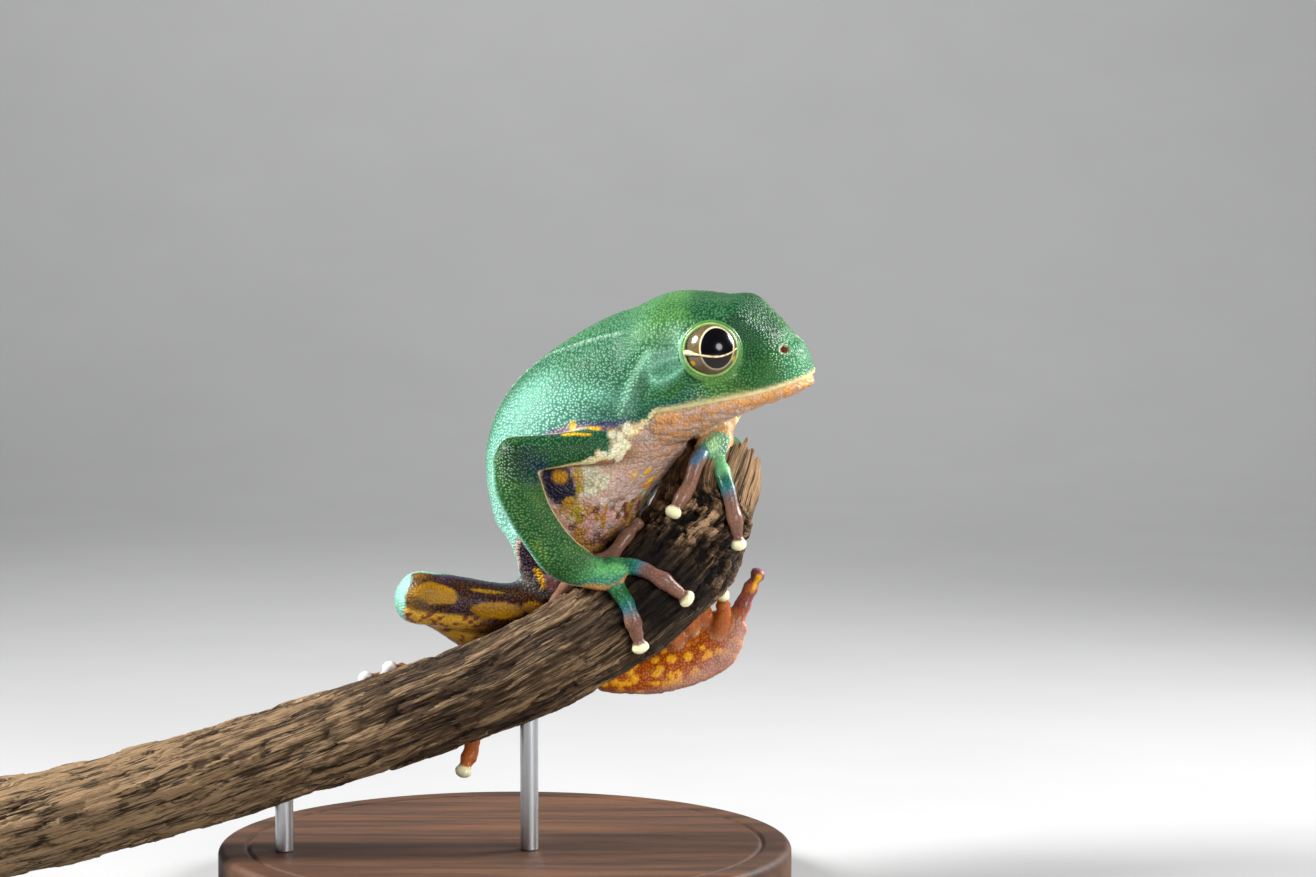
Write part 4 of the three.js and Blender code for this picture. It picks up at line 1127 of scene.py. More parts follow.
# %% Paint feet, hands and face
foot_part = share_of("sole")
over(ground * foot_part * ease(0.45, 0.7, broad) * 0.6, "9a3f0c")
over(ground * foot_part * ease(0.55, 0.62, cell_value) * ease(0.2, 0.5, dome), "eaa21c")
over(foot_part * hump(inside + 1.2, 1.0) * 0.85, "ad8078")
over(foot_part * hump(inside + 0.1, 0.3), "efe3d2")
over(foot_part * green, 0.8 * TEAL)
over(foot_part * hump(inside - 0.6, 0.4) * 0.7, "6fc6c0")
knuckles = share_of("finger", "palm")
over(knuckles * hump(inside - 0.5, 0.9) * 0.75, TEAL)
over(0.75 * part_weight(GREEN_FINGER) * ease(0.9, 1.8, inside), "7fc98c")
over(share_of("finger") * hump(inside + 0.1, 0.5) * 0.5, BLUE)
over(knuckles * spots([((6.5, 1.3, -2.3), (5.7, 0.9, -3.2), 1.0)]) * 0.8, "356e90")
over((share_of("finger") + 0.4 * share_of("toe")) * ground * ease(0.45, 0.75, patchy) * 0.5, "5f3c38")
for toe in TOP_TOES:  # the two that lie on top of the branch
    over(part_weight(toe) * ground * (1 - disc) * 0.75, "5f3f22")
outer_toe = part_weight(OUTER_TOE)
over(outer_toe * ground * ease(0.35, 0.6, noise(points, 1.3, seed=91, octaves=2)), "7d3f33")
over(outer_toe * hump(normals[:, 1] + 0.1, 0.35) * 0.7, "8a78a8")
over(outer_toe * spots([((15.0, 11.2, -25.6), (16.0, 11.2, -23.2), 0.4)]), YOLK)

arm_line = share_of("arm") * hump(inside + 0.1, 0.32)
over(np.clip(1.2 * arm_line, 0, 1), CREAM)
over(near_arm * spots([((-16.9, -5.1, -4.2), (-11.4, -3.9, -3.4), 0.3),
                       ((-11.4, -3.9, -3.4), (-9.2, -3.2, -2.8), 0.6)], soft=0.2), CREAM)
over(share_of("palm") * hump(inside + 0.2, 0.35) * 0.7, "dc9a50")
lip = on_head * hump(mouth_height - 0.5, 0.42) * ease(-9.8, -8.6, head_forward)
over(np.clip(1.5 * lip, 0, 1), CREAM)
over(near_arm * spots([(CHEST_LINE[0], CHEST_LINE[1], 0.5), (CHEST_LINE[1], CHEST_LINE[2], 0.55)],
                      soft=0.1, at=fine_home), "efe0a4")
pale_row = ease(0.5, 0.2, ridge_gap) * (0.15 + 0.35 * bead) * ease(0.0, 0.1, ridge_place)
over(pale_row * ease(1.0, 0.8, ridge_place) * 0.75, "c4e2c8")
# pale along the fold: partly its own pale line, partly a painted sheen on the ridge
over(hump(fold_gap, 1.2) * ease(-12.5, -9.5, head_up) * 0.18, "a9d9bf")
over(ease(1.1, 0.85, nostril_gap) * on_head, "9db98a")
over(ease(0.8, 0.6, nostril_gap) * on_head, "6a1d18")
over(lid_mask * 0.6, "5f8f45")
over(disc, DISC_CREAM)
over(disc * (part_weight(TOP_TOES[0]) + part_weight(TOP_TOES[1])) * 0.7, "c9bfd0")
tip(disc, DISC_CREAM, 0.0)
tip(lip, CREAM, 0.0)

print("mean colour at the end:", tone.mean(0).round(3))

# %% [markdown]
# ### What the mesh keeps
# A material can read a number or a colour that is stored at each point of its mesh. That follows the
# surface with no UV map. Besides the colours, the skin keeps where it is granular, pebbled and glossy.

# %% Keep the paint on the mesh
smooth_lip = np.clip(1.5 * lip, 0, 1)
grain = np.clip(0.45 + 0.55 * green, 0, 1) * (1 - 0.9 * lid_mask) * (1 - disc)
grain = grain * (1 - 0.6 * share_of("finger", "toe")) * (1 - smooth_lip)
pebbles = ground * np.clip(body_part + 0.5 * on_head + 0.3 * leg_part, 0, 1) * (1 - disc) * (1 - smooth_lip)
squareness = np.abs(normals) ** 8  # how squarely the skin faces the side, the front and the top
squareness /= squareness.sum(1, keepdims=True)
gloss = np.clip(disc + 0.4 * lid_mask + 0.25 * share_of("finger", "toe"), 0, 1)


FIELDS = {"FLOAT": "value", "FLOAT_COLOR": "color", "FLOAT_VECTOR": "vector"}


def keep_on(mesh, **kept):
    """Stores numbers, colours or places at each point of a mesh, for its material to read by name."""
    for name, values in kept.items():
        values = np.asarray(values, float)
        kind = "FLOAT" if values.ndim == 1 else "FLOAT_VECTOR" if name == "straight" else "FLOAT_COLOR"
        if kind == "FLOAT_COLOR" and values.shape[1] == 3:
            values = np.column_stack([values, np.ones(len(values))])
        kept_on_mesh = mesh.attributes.new(name, kind, "POINT")
        kept_on_mesh.data.foreach_set(FIELDS[kind], values.astype(np.float32).ravel())


keep_on(melted, tone=tone, tips=tips, grain=grain, pebbles=pebbles, squareness=squareness, gloss=gloss)
shade_smooth(melted)
print("kept on the skin:", [name for name in melted.attributes.keys() if not name.startswith(".")])

# %% [markdown]
# ## Materials as sums
# A material is a sum of patterns, so it is written as one. `Wire` stands for one socket, and the ordinary
# signs on it add Math nodes. `Finish` holds a material and has one method that makes any other node.

# %% Shader helpers
class Wire:
    """A socket that can be added, subtracted, multiplied, divided and raised to a power."""

    def __init__(self, finish, socket):
        self.finish, self.socket = finish, socket

    def _sum(self, operation, *values):
        return self.finish.node("ShaderNodeMath", {"operation": operation}, dict(enumerate(values)))

    def __add__(self, other):
        return self._sum("ADD", self, other)

    def __sub__(self, other):
        return self._sum("SUBTRACT", self, other)

    def __rsub__(self, other):
        return self._sum("SUBTRACT", other, self)

    def __mul__(self, other):
        return self._sum("MULTIPLY", self, other)

    def __truediv__(self, other):
        return self._sum("DIVIDE", self, other)

    def __pow__(self, other):
        return self._sum("POWER", self, other)

    __radd__, __rmul__ = __add__, __mul__

    def step(self, low, high):
        """0 below `low` and 1 above `high`, smoothly. `low` may be the larger."""
        return self.finish.node("ShaderNodeMapRange", {"interpolation_type": "SMOOTHSTEP"},
                                {"Value": self, "From Min": low, "From Max": high})


# %% [markdown]
# ## One way to add a node
# Every other node comes from one method, which sets the node's settings first and its sockets after,
# because a setting such as the blend type can change which sockets a node has.

# %% Finishes
class Finish:
    """A material, and the one method that adds nodes to it."""

    def __init__(self, name, **constants):
        self.material = bpy.data.materials.new(name)
        self.material.use_nodes = True
        self.tree = self.material.node_tree
        self.surface = self.tree.nodes["Principled BSDF"]
        for socket, value in constants.items():
            self.surface.inputs[socket.replace("_", " ")].default_value = value

    def node(self, kind, settings=None, sockets=None, out=0):
        """Adds a node: its settings first, then values or links for its sockets. Gives one output."""
        made = self.tree.nodes.new(kind)
        for name, value in (settings or {}).items():
            setattr(made, name, value)
        for name, value in (sockets or {}).items():
            if isinstance(value, Wire):
                self.tree.links.new(value.socket, made.inputs[name])
            else:
                made.inputs[name].default_value = value
        return Wire(self, made.outputs[out])

    def mix(self, mask, first, second, blend="MIX"):
        """One colour turning into another as the mask goes from 0 to 1. The colour sockets are 6 and 7."""
        first, second = (c if isinstance(c, Wire) else (*linear(c), 1.0) for c in (first, second))
        return self.node("ShaderNodeMix", {"data_type": "RGBA", "blend_type": blend},
                         {0: mask, 6: first, 7: second}, out=2)

    def place(self, scale=(1, 1, 1), turn=(0, 0, 0)):
        """The point being shaded, in the object's metres, scaled and turned."""
        here = self.node("ShaderNodeTexCoord", out="Object")
        return self.node("ShaderNodeMapping", None, {"Vector": here, "Scale": scale, "Rotation": turn})

    def stretch(self, place, share):
        """A place with its length scaled to a share, which draws a pattern out along the grain."""
        return self.node("ShaderNodeMapping", None, {"Vector": place, "Scale": (share, 1.0, 1.0)})

    def noise(self, place, scale, detail=2.0, roughness=0.5):
        """Smooth noise from 0 to 1."""
        sockets = {"Vector": place, "Scale": scale, "Detail": detail, "Roughness": roughness}
        return self.node("ShaderNodeTexNoise", None, sockets, out="Fac")

    def granules(self, scale, feature="F1", randomness=0.7):
        """Scattered cells as flat patterns seen from the side, the front and the top, each where the skin
        faces that way most. Gives the distance, and a random number for the cell."""
        shares = self.read("squareness", out="Color")
        distance, own = 0.0, 0.0
        for part, turn in enumerate(((0, math.pi / 2, 0), (-math.pi / 2, 0, 0), (0, 0, 0))):
            share = self.node("ShaderNodeSeparateColor", None, {"Color": shares}, out=part)
            sockets = {"Vector": self.place(turn=turn), "Scale": scale, "Randomness": randomness}
            settings = {"voronoi_dimensions": "2D", "feature": feature}
            cells = self.node("ShaderNodeTexVoronoi", settings, sockets, out="Distance")
            distance = share * cells + distance
            if feature == "F1":
                colour = Wire(self, cells.socket.node.outputs["Color"])
                own = share * self.node("ShaderNodeSeparateColor", None, {"Color": colour}, out=0) + own
        return distance, own

    def read(self, name, out="Fac"):
        """What the mesh keeps at its points under this name."""
        return self.node("ShaderNodeAttribute", {"attribute_name": name}, out=out)

    def bump(self, height, depth, strength=1.0, normal=None):
        """Tilts the surface as if it stood `depth` metres higher where the height is 1."""
        sockets = {"Height": height, "Distance": depth, "Strength": strength}
        if normal is not None:
            sockets["Normal"] = normal
        return self.node("ShaderNodeBump", None, sockets)

    def feed(self, **sockets):
        """Links wires to the surface's own sockets."""
        for name, wire in sockets.items():
            self.tree.links.new(wire.socket, self.surface.inputs[name.replace("_", " ")])
        return self


# %% [markdown]
# ## The skin's finish
# The skin is moist and pebbled. Granules half a millimetre wide each have a domed bump and a pale tip, with
# darker furrows between, darkened by painted shade. Cells cut through a solid pattern come out in all
# sizes, so the granules are flat patterns seen from three sides instead. Below, larger pebbles lie close
# together with dark cracks.

# %% Skin material
skin_finish = Finish("moist_granular_skin", Roughness=0.4, IOR=1.42, Specular_IOR_Level=0.25,
                     Coat_Roughness=0.12)
here = skin_finish.place()
GRANULES, PEBBLES = 2150.0, 1150.0  # how many fit in a metre
granule, own = skin_finish.granules(GRANULES, randomness=0.85)
pebble_edge, _ = skin_finish.granules(PEBBLES, feature="DISTANCE_TO_EDGE", randomness=1.0)
_, pebble_own = skin_finish.granules(PEBBLES, randomness=1.0)
grain_wire, pebble_wire, gloss_wire = (skin_finish.read(name) for name in ("grain", "pebbles", "gloss"))
furrow_shade_mask = granule.step(0.34, 0.66) * grain_wire
crack = pebble_edge.step(0.09, 0.0) * pebble_wire
shade = skin_finish.noise(here, 420.0, detail=3.0) * 0.5 + own * 0.16 * grain_wire
shade = shade + pebble_own * 0.2 * pebble_wire + 0.64
shade_colour = skin_finish.node("ShaderNodeCombineColor", None, {0: shade, 1: shade, 2: shade})
base = skin_finish.mix(1.0, skin_finish.read("tone", out="Color"), shade_colour, blend="MULTIPLY")
# painted shade: the furrows between granules take a darker copy of the skin's own colour
deep = skin_finish.mix(1.0, base, (0.3, 0.36, 0.34), blend="MULTIPLY")
base = skin_finish.mix(furrow_shade_mask * 0.5, base, deep)
tip_colour, tip_strength = skin_finish.read("tips", out="Color"), skin_finish.read("tips", out="Alpha")
base = skin_finish.mix(granule.step(0.36, 0.1) * tip_strength * (own * 0.7 + 0.4), base, tip_colour)
base = skin_finish.mix(crack * 0.3, base, (0.05, 0.028, 0.02))
rough = 0.35 - gloss_wire * 0.22 + skin_finish.noise(here, 900.0) * 0.12
fine = skin_finish.noise(here, 3800.0, detail=2.0)
height = granule.step(0.62, 0.0) * grain_wire + pebble_edge.step(0.0, 0.3) * pebble_wire * 0.8 + fine * 0.15
skin_finish.feed(Base_Color=base, Roughness=rough, Coat_Weight=gloss_wire * 0.6,
                 Normal=skin_finish.bump(height, 0.00014, 0.8))


def settle(piece, finish, slot, *nodes):
    """Gives a piece its material, lets it ride with the model, and hides its solids. Its slot is not used.
    """
    piece.data.materials.clear()
    piece.data.materials.append(finish.material)
    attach(piece, "root")
    if nodes:
        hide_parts(*nodes)
    print(piece.name, len(piece.data.polygons), "faces, for", len(nodes), "solids")


FLESH_NODES = [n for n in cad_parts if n.split("_")[0] in
               ("head", "lower", "torso", "upper", "forearm", "hand", "thigh", "shank", "foot")]
settle(skin, skin_finish, "green_skin", *FLESH_NODES)

# %% [markdown]
# ## The eyes
# This frog's eye is a dark glossy ball: a tall oval pupil that opens wide at night, a silver iris with
# fine dark veins, and a black outline that is partly painted shade where the lids meet it. Its pattern is
# drawn in the shader from the direction of each point from the eye's centre, which stays sharp however
# close the view. What lies under the third eyelid is dimmer, because that lid is a thin film.

# %% Eyeballs
EDGE_LEVEL, EDGE_BEND = -0.25, (0.30, -0.14)  # the third eyelid's edge: y = level + 0.30 x^2 - 0.14 x^3
PUPIL_WIDTH, PUPIL_HEIGHT = 0.6, 0.73  # halves, as shares of the eye's radius
FLECKS = [(-0.8, -0.36, 0.17, "d3a818"), (0.74, -0.5, 0.13, "c98a24"), (0.86, -0.14, 0.12, "b58368")]


def eye_view(side):
    """The direction an eye looks in, and its upward and rearward directions across that."""
    gaze = unit((0.46, SIGN[side] * 0.87, 0.15)) @ HEAD_AXES
    upward = unit(np.array((0, 0, 1.0)) - gaze * gaze[2])
    return gaze, upward, -SIGN[side] * np.cross(gaze, upward)


def eye_finish(side):
    """The eye's material. x and y are a point's rearward and upward shares of the radius."""
    finish = Finish("wet_eye_" + side, Roughness=0.2, IOR=1.4, Specular_IOR_Level=0.15,
                    Coat_Weight=0.5, Coat_Roughness=0.07, Coat_IOR=1.35)
    gaze, upward, rearward = eye_view(side)
    here = finish.node("ShaderNodeTexCoord", out="Object")
    centre = tuple(metres(eye_centres[side]))
    offset = finish.node("ShaderNodeVectorMath", {"operation": "SUBTRACT"}, {0: here, 1: centre})
    x, y = (finish.node("ShaderNodeVectorMath", {"operation": "DOT_PRODUCT"},
                        {0: offset, 1: tuple(axis / (EYE_RADIUS * MM))}, out="Value")
            for axis in (rearward, upward))
    pupil_reach = (((x + 0.11) * (1 / PUPIL_WIDTH)) ** 2 + ((y - 0.05) * (1 / PUPIL_HEIGHT)) ** 2) ** 0.5
    ball_reach = (x ** 2 + y ** 2) ** 0.5
    veins = finish.noise(here, 2600.0, detail=4.0, roughness=0.7)
    iris = finish.mix(veins.step(0.35, 0.65) * 0.6, "4e4229", "82744e")
    iris = finish.mix(ball_reach.step(0.62, 0.9) * 0.6, iris, "54452f")
    iris = finish.mix(pupil_reach.step(1.02, 1.12), "d9ccaa", iris)
    covered = (y - x ** 2 * EDGE_BEND[0] - x ** 3 * EDGE_BEND[1] - EDGE_LEVEL).step(0.015, -0.015)
    iris = finish.mix(covered * 0.55, iris, "6a5a49")
    pupil = finish.mix(covered * 0.05, (0.002, 0.002, 0.003), "8a7a66")
    colour = finish.mix(pupil_reach.step(0.97, 1.02), pupil, iris)
    for place_x, place_y, reach, code in FLECKS:  # warm flecks in the corners
        near = ((x - place_x) ** 2 + (y - place_y) ** 2) ** 0.5
        colour = finish.mix(near.step(reach, 0.4 * reach) * 0.85, colour, code)
    # a near-black ring round the eye's edge: partly its own dark rim, partly painted shade where the lids
    # meet it
    colour = finish.mix(ball_reach.step(0.87, 0.94), colour, (0.004, 0.004, 0.004))
    return finish.feed(Base_Color=colour)


for side in SIGN:
    eyeball = make_piece("eyeball_" + side, *ball(eye_centres[side], EYE_RADIUS))
    settle(eyeball, eye_finish(side), "eye", "eye_" + side)

# %% [markdown]
# ## Lid rims and the third eyelid
# A fine pale rim runs round the opening, and the cream edge of the clear third eyelid crosses the eye
# below its middle. Both are thin rolls laid on the eyeball, so a small tube along a line on the sphere
# makes each.

# %% Rims
def rolled(path, radius, sides=12, closed=False):
    """A thin roll along a path, as rings of points, with `radius` one number or one for each sample."""
    radius = np.broadcast_to(np.asarray(radius, float), len(path))
    steps = np.roll(path, -1, 0) - np.roll(path, 1, 0) if closed else np.gradient(path, axis=0)
    along = unit(steps)
    side = unit(np.cross(path - path.mean(0), along))
    top = np.cross(along, side)
    a = round_turn(sides)
    rings = carried(path[:, None], side[:, None], top[:, None],
                    radius[:, None] * np.cos(a), radius[:, None] * np.sin(a))
    if not closed:
        return closed_loft(rings, path[0], path[-1])
    count = len(path)
    i, j = np.arange(count)[:, None] * sides, np.arange(sides)
    after = ((np.arange(count) + 1) % count)[:, None] * sides
    k = (j + 1) % sides
    return rings.reshape(-1, 3), np.stack([i + j, i + k, after + k, after + j], -1).reshape(-1, 4)


def on_eye(side, angle, around, lift):
    """Points on an eyeball, by degrees from its axis and the way round from forward towards up."""
    axis, forward, upward = eye_frame(side)
    b = np.radians(angle)[:, None]
    ring = forward * np.cos(around)[:, None] + upward * np.sin(around)[:, None]
    return eye_centres[side] + (EYE_RADIUS + lift) * (axis * np.cos(b) + ring * np.sin(b))


rim_finish = Finish("lid_rim", Roughness=0.3, IOR=1.4, Coat_Weight=0.3)
rim_place = rim_finish.place()
rim_colour = rim_finish.mix(rim_finish.noise(rim_place, 900.0), "5f8a3f", "a3bd74")
rim_grain = rim_finish.noise(rim_place, 2400.0)
rim_finish.feed(Base_Color=rim_colour, Normal=rim_finish.bump(rim_grain, 0.00006, 0.6))
third_lid_finish = Finish("third_lid_edge", Roughness=0.25, IOR=1.4, Coat_Weight=0.5)
mottling = third_lid_finish.noise(third_lid_finish.place(), 1500.0, detail=3.0).step(0.35, 0.65)
third_lid_finish.feed(Base_Color=third_lid_finish.mix(mottling, "c2a066", "eadfbd"))

for side in SIGN:
    around = round_turn(120)
    opening = lid_edge(around)
    rim_line = on_eye(side, opening - 0.5, around, 0.06)
    rim = make_piece("lid_rim_" + side, *rolled(rim_line, 0.24, closed=True))
    settle(rim, rim_finish, "green_skin")
    gaze, upward, rearward = eye_view(side)
    x = np.linspace(-0.88, 0.95, 60)
    y = EDGE_LEVEL + EDGE_BEND[0] * x**2 + EDGE_BEND[1] * x**3
    out = np.sqrt(1 - x**2 - y**2)
    ways = rearward * x[:, None] + upward * y[:, None] + gaze * out[:, None]
    line = eye_centres[side] + (EYE_RADIUS + 0.02) * ways
    thick = 0.13 * np.sqrt(np.clip(1 - (x / 0.97) ** 2, 0.05, 1)) + 0.04 + 0.36 * ease(0.5, 0.93, x)
    edge = make_piece("third_lid_" + side, *rolled(line, thick))
    settle(edge, third_lid_finish, "eye")

# %% [markdown]
# ## The branch
# The perch is a dead branch, as thick as a thumb. Its bark has split along the grain into long cracks
# with raised, fibrous lips. The upper end has been torn off and shows paler wood. A displacement modifier
# with a texture would do, but a grid of (length, angle) lets every crack follow the grain round the bend.

# %% Bark
RINGS, SIDES = 520, 168
bark_line = smooth_rows(BRANCH, RINGS)
length_place = np.linspace(0, 1, RINGS)
bark_length = np.append(0, np.cumsum(np.linalg.norm(np.diff(bark_line[:, :3], axis=0), axis=1)))
along, side, top = axes_along(bark_line[:, :3], np.tile((0.0, 0.0, 1.0), (RINGS, 1)))
turn = round_turn(SIDES)[None, :]
t = length_place[:, None]
plain = (bark_line[:, 3:4] + 0.16 * np.sin(23 * t + 2 * turn) + 0.12 * np.sin(41 * t - 3 * turn)
         + 0.1 * np.sin(7 * turn + 9 * t))
WINDING = 0.012  # how far the grain winds round the branch, in radians for each mm of its length
grain_turn = turn + WINDING * bark_length[:, None]
straight = np.stack([np.broadcast_to(bark_length[:, None], plain.shape), plain * np.cos(grain_turn),
                     plain * np.sin(grain_turn)], -1)


def along_grain(places, stretch, across_size, seed, octaves=2):
    """Noise drawn out along the grain, from 0 to 1."""
    return noise(places / (stretch, 1.0, 1.0), across_size, seed=seed, octaves=octaves)


def grain_cobbles(places, stretch, across_size, seed):
    """Cobbles drawn out along the grain: the distance to each one's middle, and its own random number."""
    gap, own, _ = cobbles((places / (stretch, 1.0, 1.0)).reshape(-1, 3), across_size, seed=seed)
    return gap.reshape(plain.shape), own.reshape(plain.shape)


# the crumbled bark and the painted shade of the band under the frog both face this way
WORN_AND_SHADED_TURN = 2.6  # the side that is dark and crumbled, in radians round the branch
bare = ease(0.835, 0.875, t + 0.05 * (along_grain(straight, 3.0, 2.2, 61) - 0.5))
sway = 1.1 * np.stack([0 * grain_turn, *(along_grain(straight, 4.0, 1.6, seed) for seed in (43, 44))], -1)
ridges = 1 - np.abs(2 * along_grain(straight + sway, 8.0, 1.2, 41, 3) - 1)
long_ridges = 1 - np.abs(2 * along_grain(straight + sway, 22.0, 3.2, 45, 1) - 1)
fibres = along_grain(straight, 7.0, 0.42, 47, 2)
split = along_grain(straight + sway, 11.0, 2.1, 53, 2)
cracks = hump(split - 0.5, 0.016) * ease(0.4, 0.62, along_grain(straight, 4.0, 4.0, 57))
flake_gap, flake_rise = grain_cobbles(straight + sway, 4.5, 1.25, 59)
flakes = 0.5 * (flake_rise - 0.5) - 0.35 * ease(0.58, 0.85, flake_gap)
crumb_gap, crumb_rise = grain_cobbles(straight, 1.3, 1.05, 67)
crumble = ease(0.74, 0.80, t + 0.06 * (along_grain(straight, 1.5, 2.4, 68) - 0.5)) * ease(0.95, 0.89, t)
crumble = crumble * np.clip(0.35 + 0.9 * np.cos(turn - WORN_AND_SHADED_TURN), 0, 1)
crumbs = 1.3 * (crumb_rise - 0.5) - 0.5 * ease(0.45, 0.85, crumb_gap)
crumbs = crumbs + 1.2 * (along_grain(straight, 1.3, 2.6, 69) - 0.5)
# painted shade: a band below the torn end, under the frog, darkened almost to black; it is also dented a
# little
dusk = ease(0.60, 0.69, t + 0.1 * (along_grain(straight, 2.0, 2.4, 65) - 0.5))
dusk = dusk * ease(0.865, 0.82, t + 0.08 * (along_grain(straight, 2.0, 2.0, 66) - 0.5))
dusk = dusk * np.clip(0.45 + 0.75 * np.cos(turn - WORN_AND_SHADED_TURN), 0, 1)
relief = 0.45 * (ridges - 0.6) + 0.5 * (long_ridges - 0.55) + 0.3 * (fibres - 0.5) + flakes - 0.7 * cracks
relief = relief * (1 - 0.75 * bare) - 0.25 * bare - 0.45 * dusk + 0.8 * crumble * crumbs
print("bark relief from", round(float(relief.min()), 2), "to", round(float(relief.max()), 2), "mm")

# %% [markdown]
# ### The branch's two ends
# The upper end stands up in jagged teeth round its rim, and its torn face is rings that shrink towards the
# middle, broken into upright fibres. The lower end is sawn flat and shows growth rings. Sharing the bark's
# rings keeps the three surfaces one closed skin.

# %% Ends and mesh
# how far the torn rim stands up, in mm, by the angle round the branch
JAG = np.array([[0.2, 2.4], [1.0, 1.8], [1.8, 1.4], [2.75, 5.6], [3.4, 3.8], [4.0, 3.2], [4.8, 2.0],
                [5.5, 3.0]])
jag = np.interp(turn[0], JAG[:, 0], JAG[:, 1], period=2 * np.pi)
rim_circle = np.column_stack([9 * np.cos(turn[0]), 9 * np.sin(turn[0]), 0 * turn[0]])
jag = jag * (0.55 + 0.75 * np.abs(noise(rim_circle, 1.5, 71, 2)))
slip = ease(0.93, 1.0, t) * jag[None, :]
radius = plain + relief - 0.9 * ease(0.965, 1.0, t) * (slip > 0)
outer = carried(bark_line[:, None, :3] + along[:, None] * slip[..., None], side[:, None], top[:, None],
                radius * np.cos(turn), radius * np.sin(turn))

# the torn face: rings that shrink towards the middle, broken into upright fibres
inward = np.linspace(0.94, 0.04, 26)[:, None]
torn_x, torn_y = inward * radius[-1] * np.cos(turn), inward * radius[-1] * np.sin(turn)
torn_places = np.stack([torn_x, torn_y, 0 * torn_x], -1)
torn_noise = noise(torn_places, 0.9, 73, 2)
torn_height = (jag[None, :] * ease(0.45, 1.0, inward) * 0.9 - 1.5 * ease(1.0, 0.7, inward)
               + 2.6 * (torn_noise - 0.5))
torn = carried(bark_line[-1, :3] + along[-1] * torn_height[..., None], side[-1], top[-1], torn_x, torn_y)

# the sawn face: flat rings
sawn_in = np.linspace(0.03, 0.985, 30)[:, None]
sawn_x, sawn_y = sawn_in * radius[0] * np.cos(turn), sawn_in * radius[0] * np.sin(turn)
sawn = carried(bark_line[0, :3], side[0], top[0], sawn_x, sawn_y)

torn_middle = bark_line[-1, :3] + along[-1] * torn_height[-1].mean()
bark = make_piece("bark", *closed_loft(np.concatenate([sawn, outer, torn]), bark_line[0, :3], torn_middle))


def over_rings(sawn_value, outer_value, torn_value):
    """One number at each point of the bark, from what holds on its three stretches, with the two ends."""
    counts = (len(sawn_in), RINGS, len(inward))
    stretches = [np.broadcast_to(value, (count, SIDES)).ravel()
                 for value, count in zip((sawn_value, outer_value, torn_value), counts)]
    return np.concatenate([stretches[0][:1], *stretches, stretches[2][-1:]])


GROWTH = 0.55  # mm from one growth ring to the next
growth = 0.3 * np.sin(2 * np.pi * sawn_in * radius[0] / GROWTH + 3.0 * noise(sawn, 3.0, 75, 2))
growth = growth - 0.5 * ease(0.9, 0.97, sawn_in)
grid = np.concatenate([np.stack([0 * sawn_x, sawn_x, sawn_y], -1), straight,
                       np.stack([torn_height + bark_length[-1], torn_x, torn_y], -1)])
keep_on(bark.data, relief=over_rings(growth, relief, 0.15 * (torn_noise - 0.5)),
        bare=over_rings(ease(0.975, 0.93, sawn_in), bare, 1.0), dusk=over_rings(0.0, dusk, 0.0),
        crumble=over_rings(0.0, crumble, 0.5), pale=over_rings(0.6, ease(0.5, 0.05, t), 0.0),
        straight=np.vstack([grid[0, :1], grid.reshape(-1, 3), grid[-1, -1:]]) * MM)
print("bark:", len(bark.data.polygons), "faces")

# %% [markdown]
# ## Splinters
# Wood tears into long slivers. Ten tapering sweeps of different lengths stand up round the torn rim. They
# are carved with the same drawn-out noise as the bark, so that bark and slivers share one material.

# %% Splinters
INSET = 2.2  # mm from the rim in to a sliver's middle


def splinter(at, length, width):
    """A sliver that stands on the torn end at an angle round it and narrows to a point."""
    outward = side[-1] * math.cos(at) + top[-1] * math.sin(at)
    foot = bark_line[-1, :3] + (bark_line[-1, 3] - INSET) * outward
    rows = [[*(foot + along[-1] * h), w, 0.55 * w, 0.55 * w] for h, w in
            ((-3.0, width), (0.0, 0.8 * width), (0.6 * length, 0.5 * width), (length, 0.22))]
    return Sweep("splinter", rows, outward, sides=24, stretch=10, domes=(0.5, 0.8)).skin()


# each sliver's angle round the branch, its length and its width
SLIVERS = [(0.2, 2.4, 2.8), (1.0, 1.8, 2.8), (1.8, 1.6, 2.6), (2.62, 3.6, 1.5), (2.78, 6.2, 1.3),
           (3.4, 3.9, 3.0), (4.1, 3.3, 3.0), (4.8, 2.0, 2.8), (5.5, 3.0, 2.6), (2.3, 2.2, 1.6)]
slivers = make_piece("torn_slivers", *merged([splinter(*s) for s in SLIVERS]))
sliver_points = read_points(slivers.data)
offset = sliver_points - bark_line[-1, :3]
rows = np.stack([offset @ along[-1] + bark_length[-1], offset @ side[-1], offset @ top[-1]], 1)
grooves = along_grain(rows, 9.0, 0.45, 83, 2) - 0.5
outward = unit(offset - (offset @ along[-1])[:, None] * along[-1])
write_points(slivers.data, sliver_points + outward * (0.2 * grooves)[:, None])
none = np.zeros(len(rows))
keep_on(slivers.data, relief=grooves * 0.5, bare=none + 1, dusk=none, crumble=none, pale=none,
        straight=rows * MM)
print("slivers:", len(SLIVERS))

# %% [markdown]
# ## The bark's finish
# Weathered bark is grey brown on its ridges and almost black in its cracks. The paler ridges and fibres
# are partly painted light, and the black in cracks and hollows is painted shade, as is a dark band under
# the frog. Where it is torn away the wood is tan. The grain is finer than the mesh, so noise stretched
# along the branch's straightened length adds it in colour and bump.

# %% Bark material
bark_finish = Finish("weathered_bark", Roughness=0.85, IOR=1.45, Specular_IOR_Level=0.2)
grain_place = bark_finish.read("straight", out="Vector")
stretched = bark_finish.stretch(grain_place, 0.06)
hairs = bark_finish.noise(stretched, 4200.0, detail=4.0, roughness=0.7)
streaks = bark_finish.noise(stretched, 1300.0, detail=4.0, roughness=0.65)
blots = bark_finish.noise(grain_place, 170.0, detail=4.0, roughness=0.65)
rise = bark_finish.read("relief")
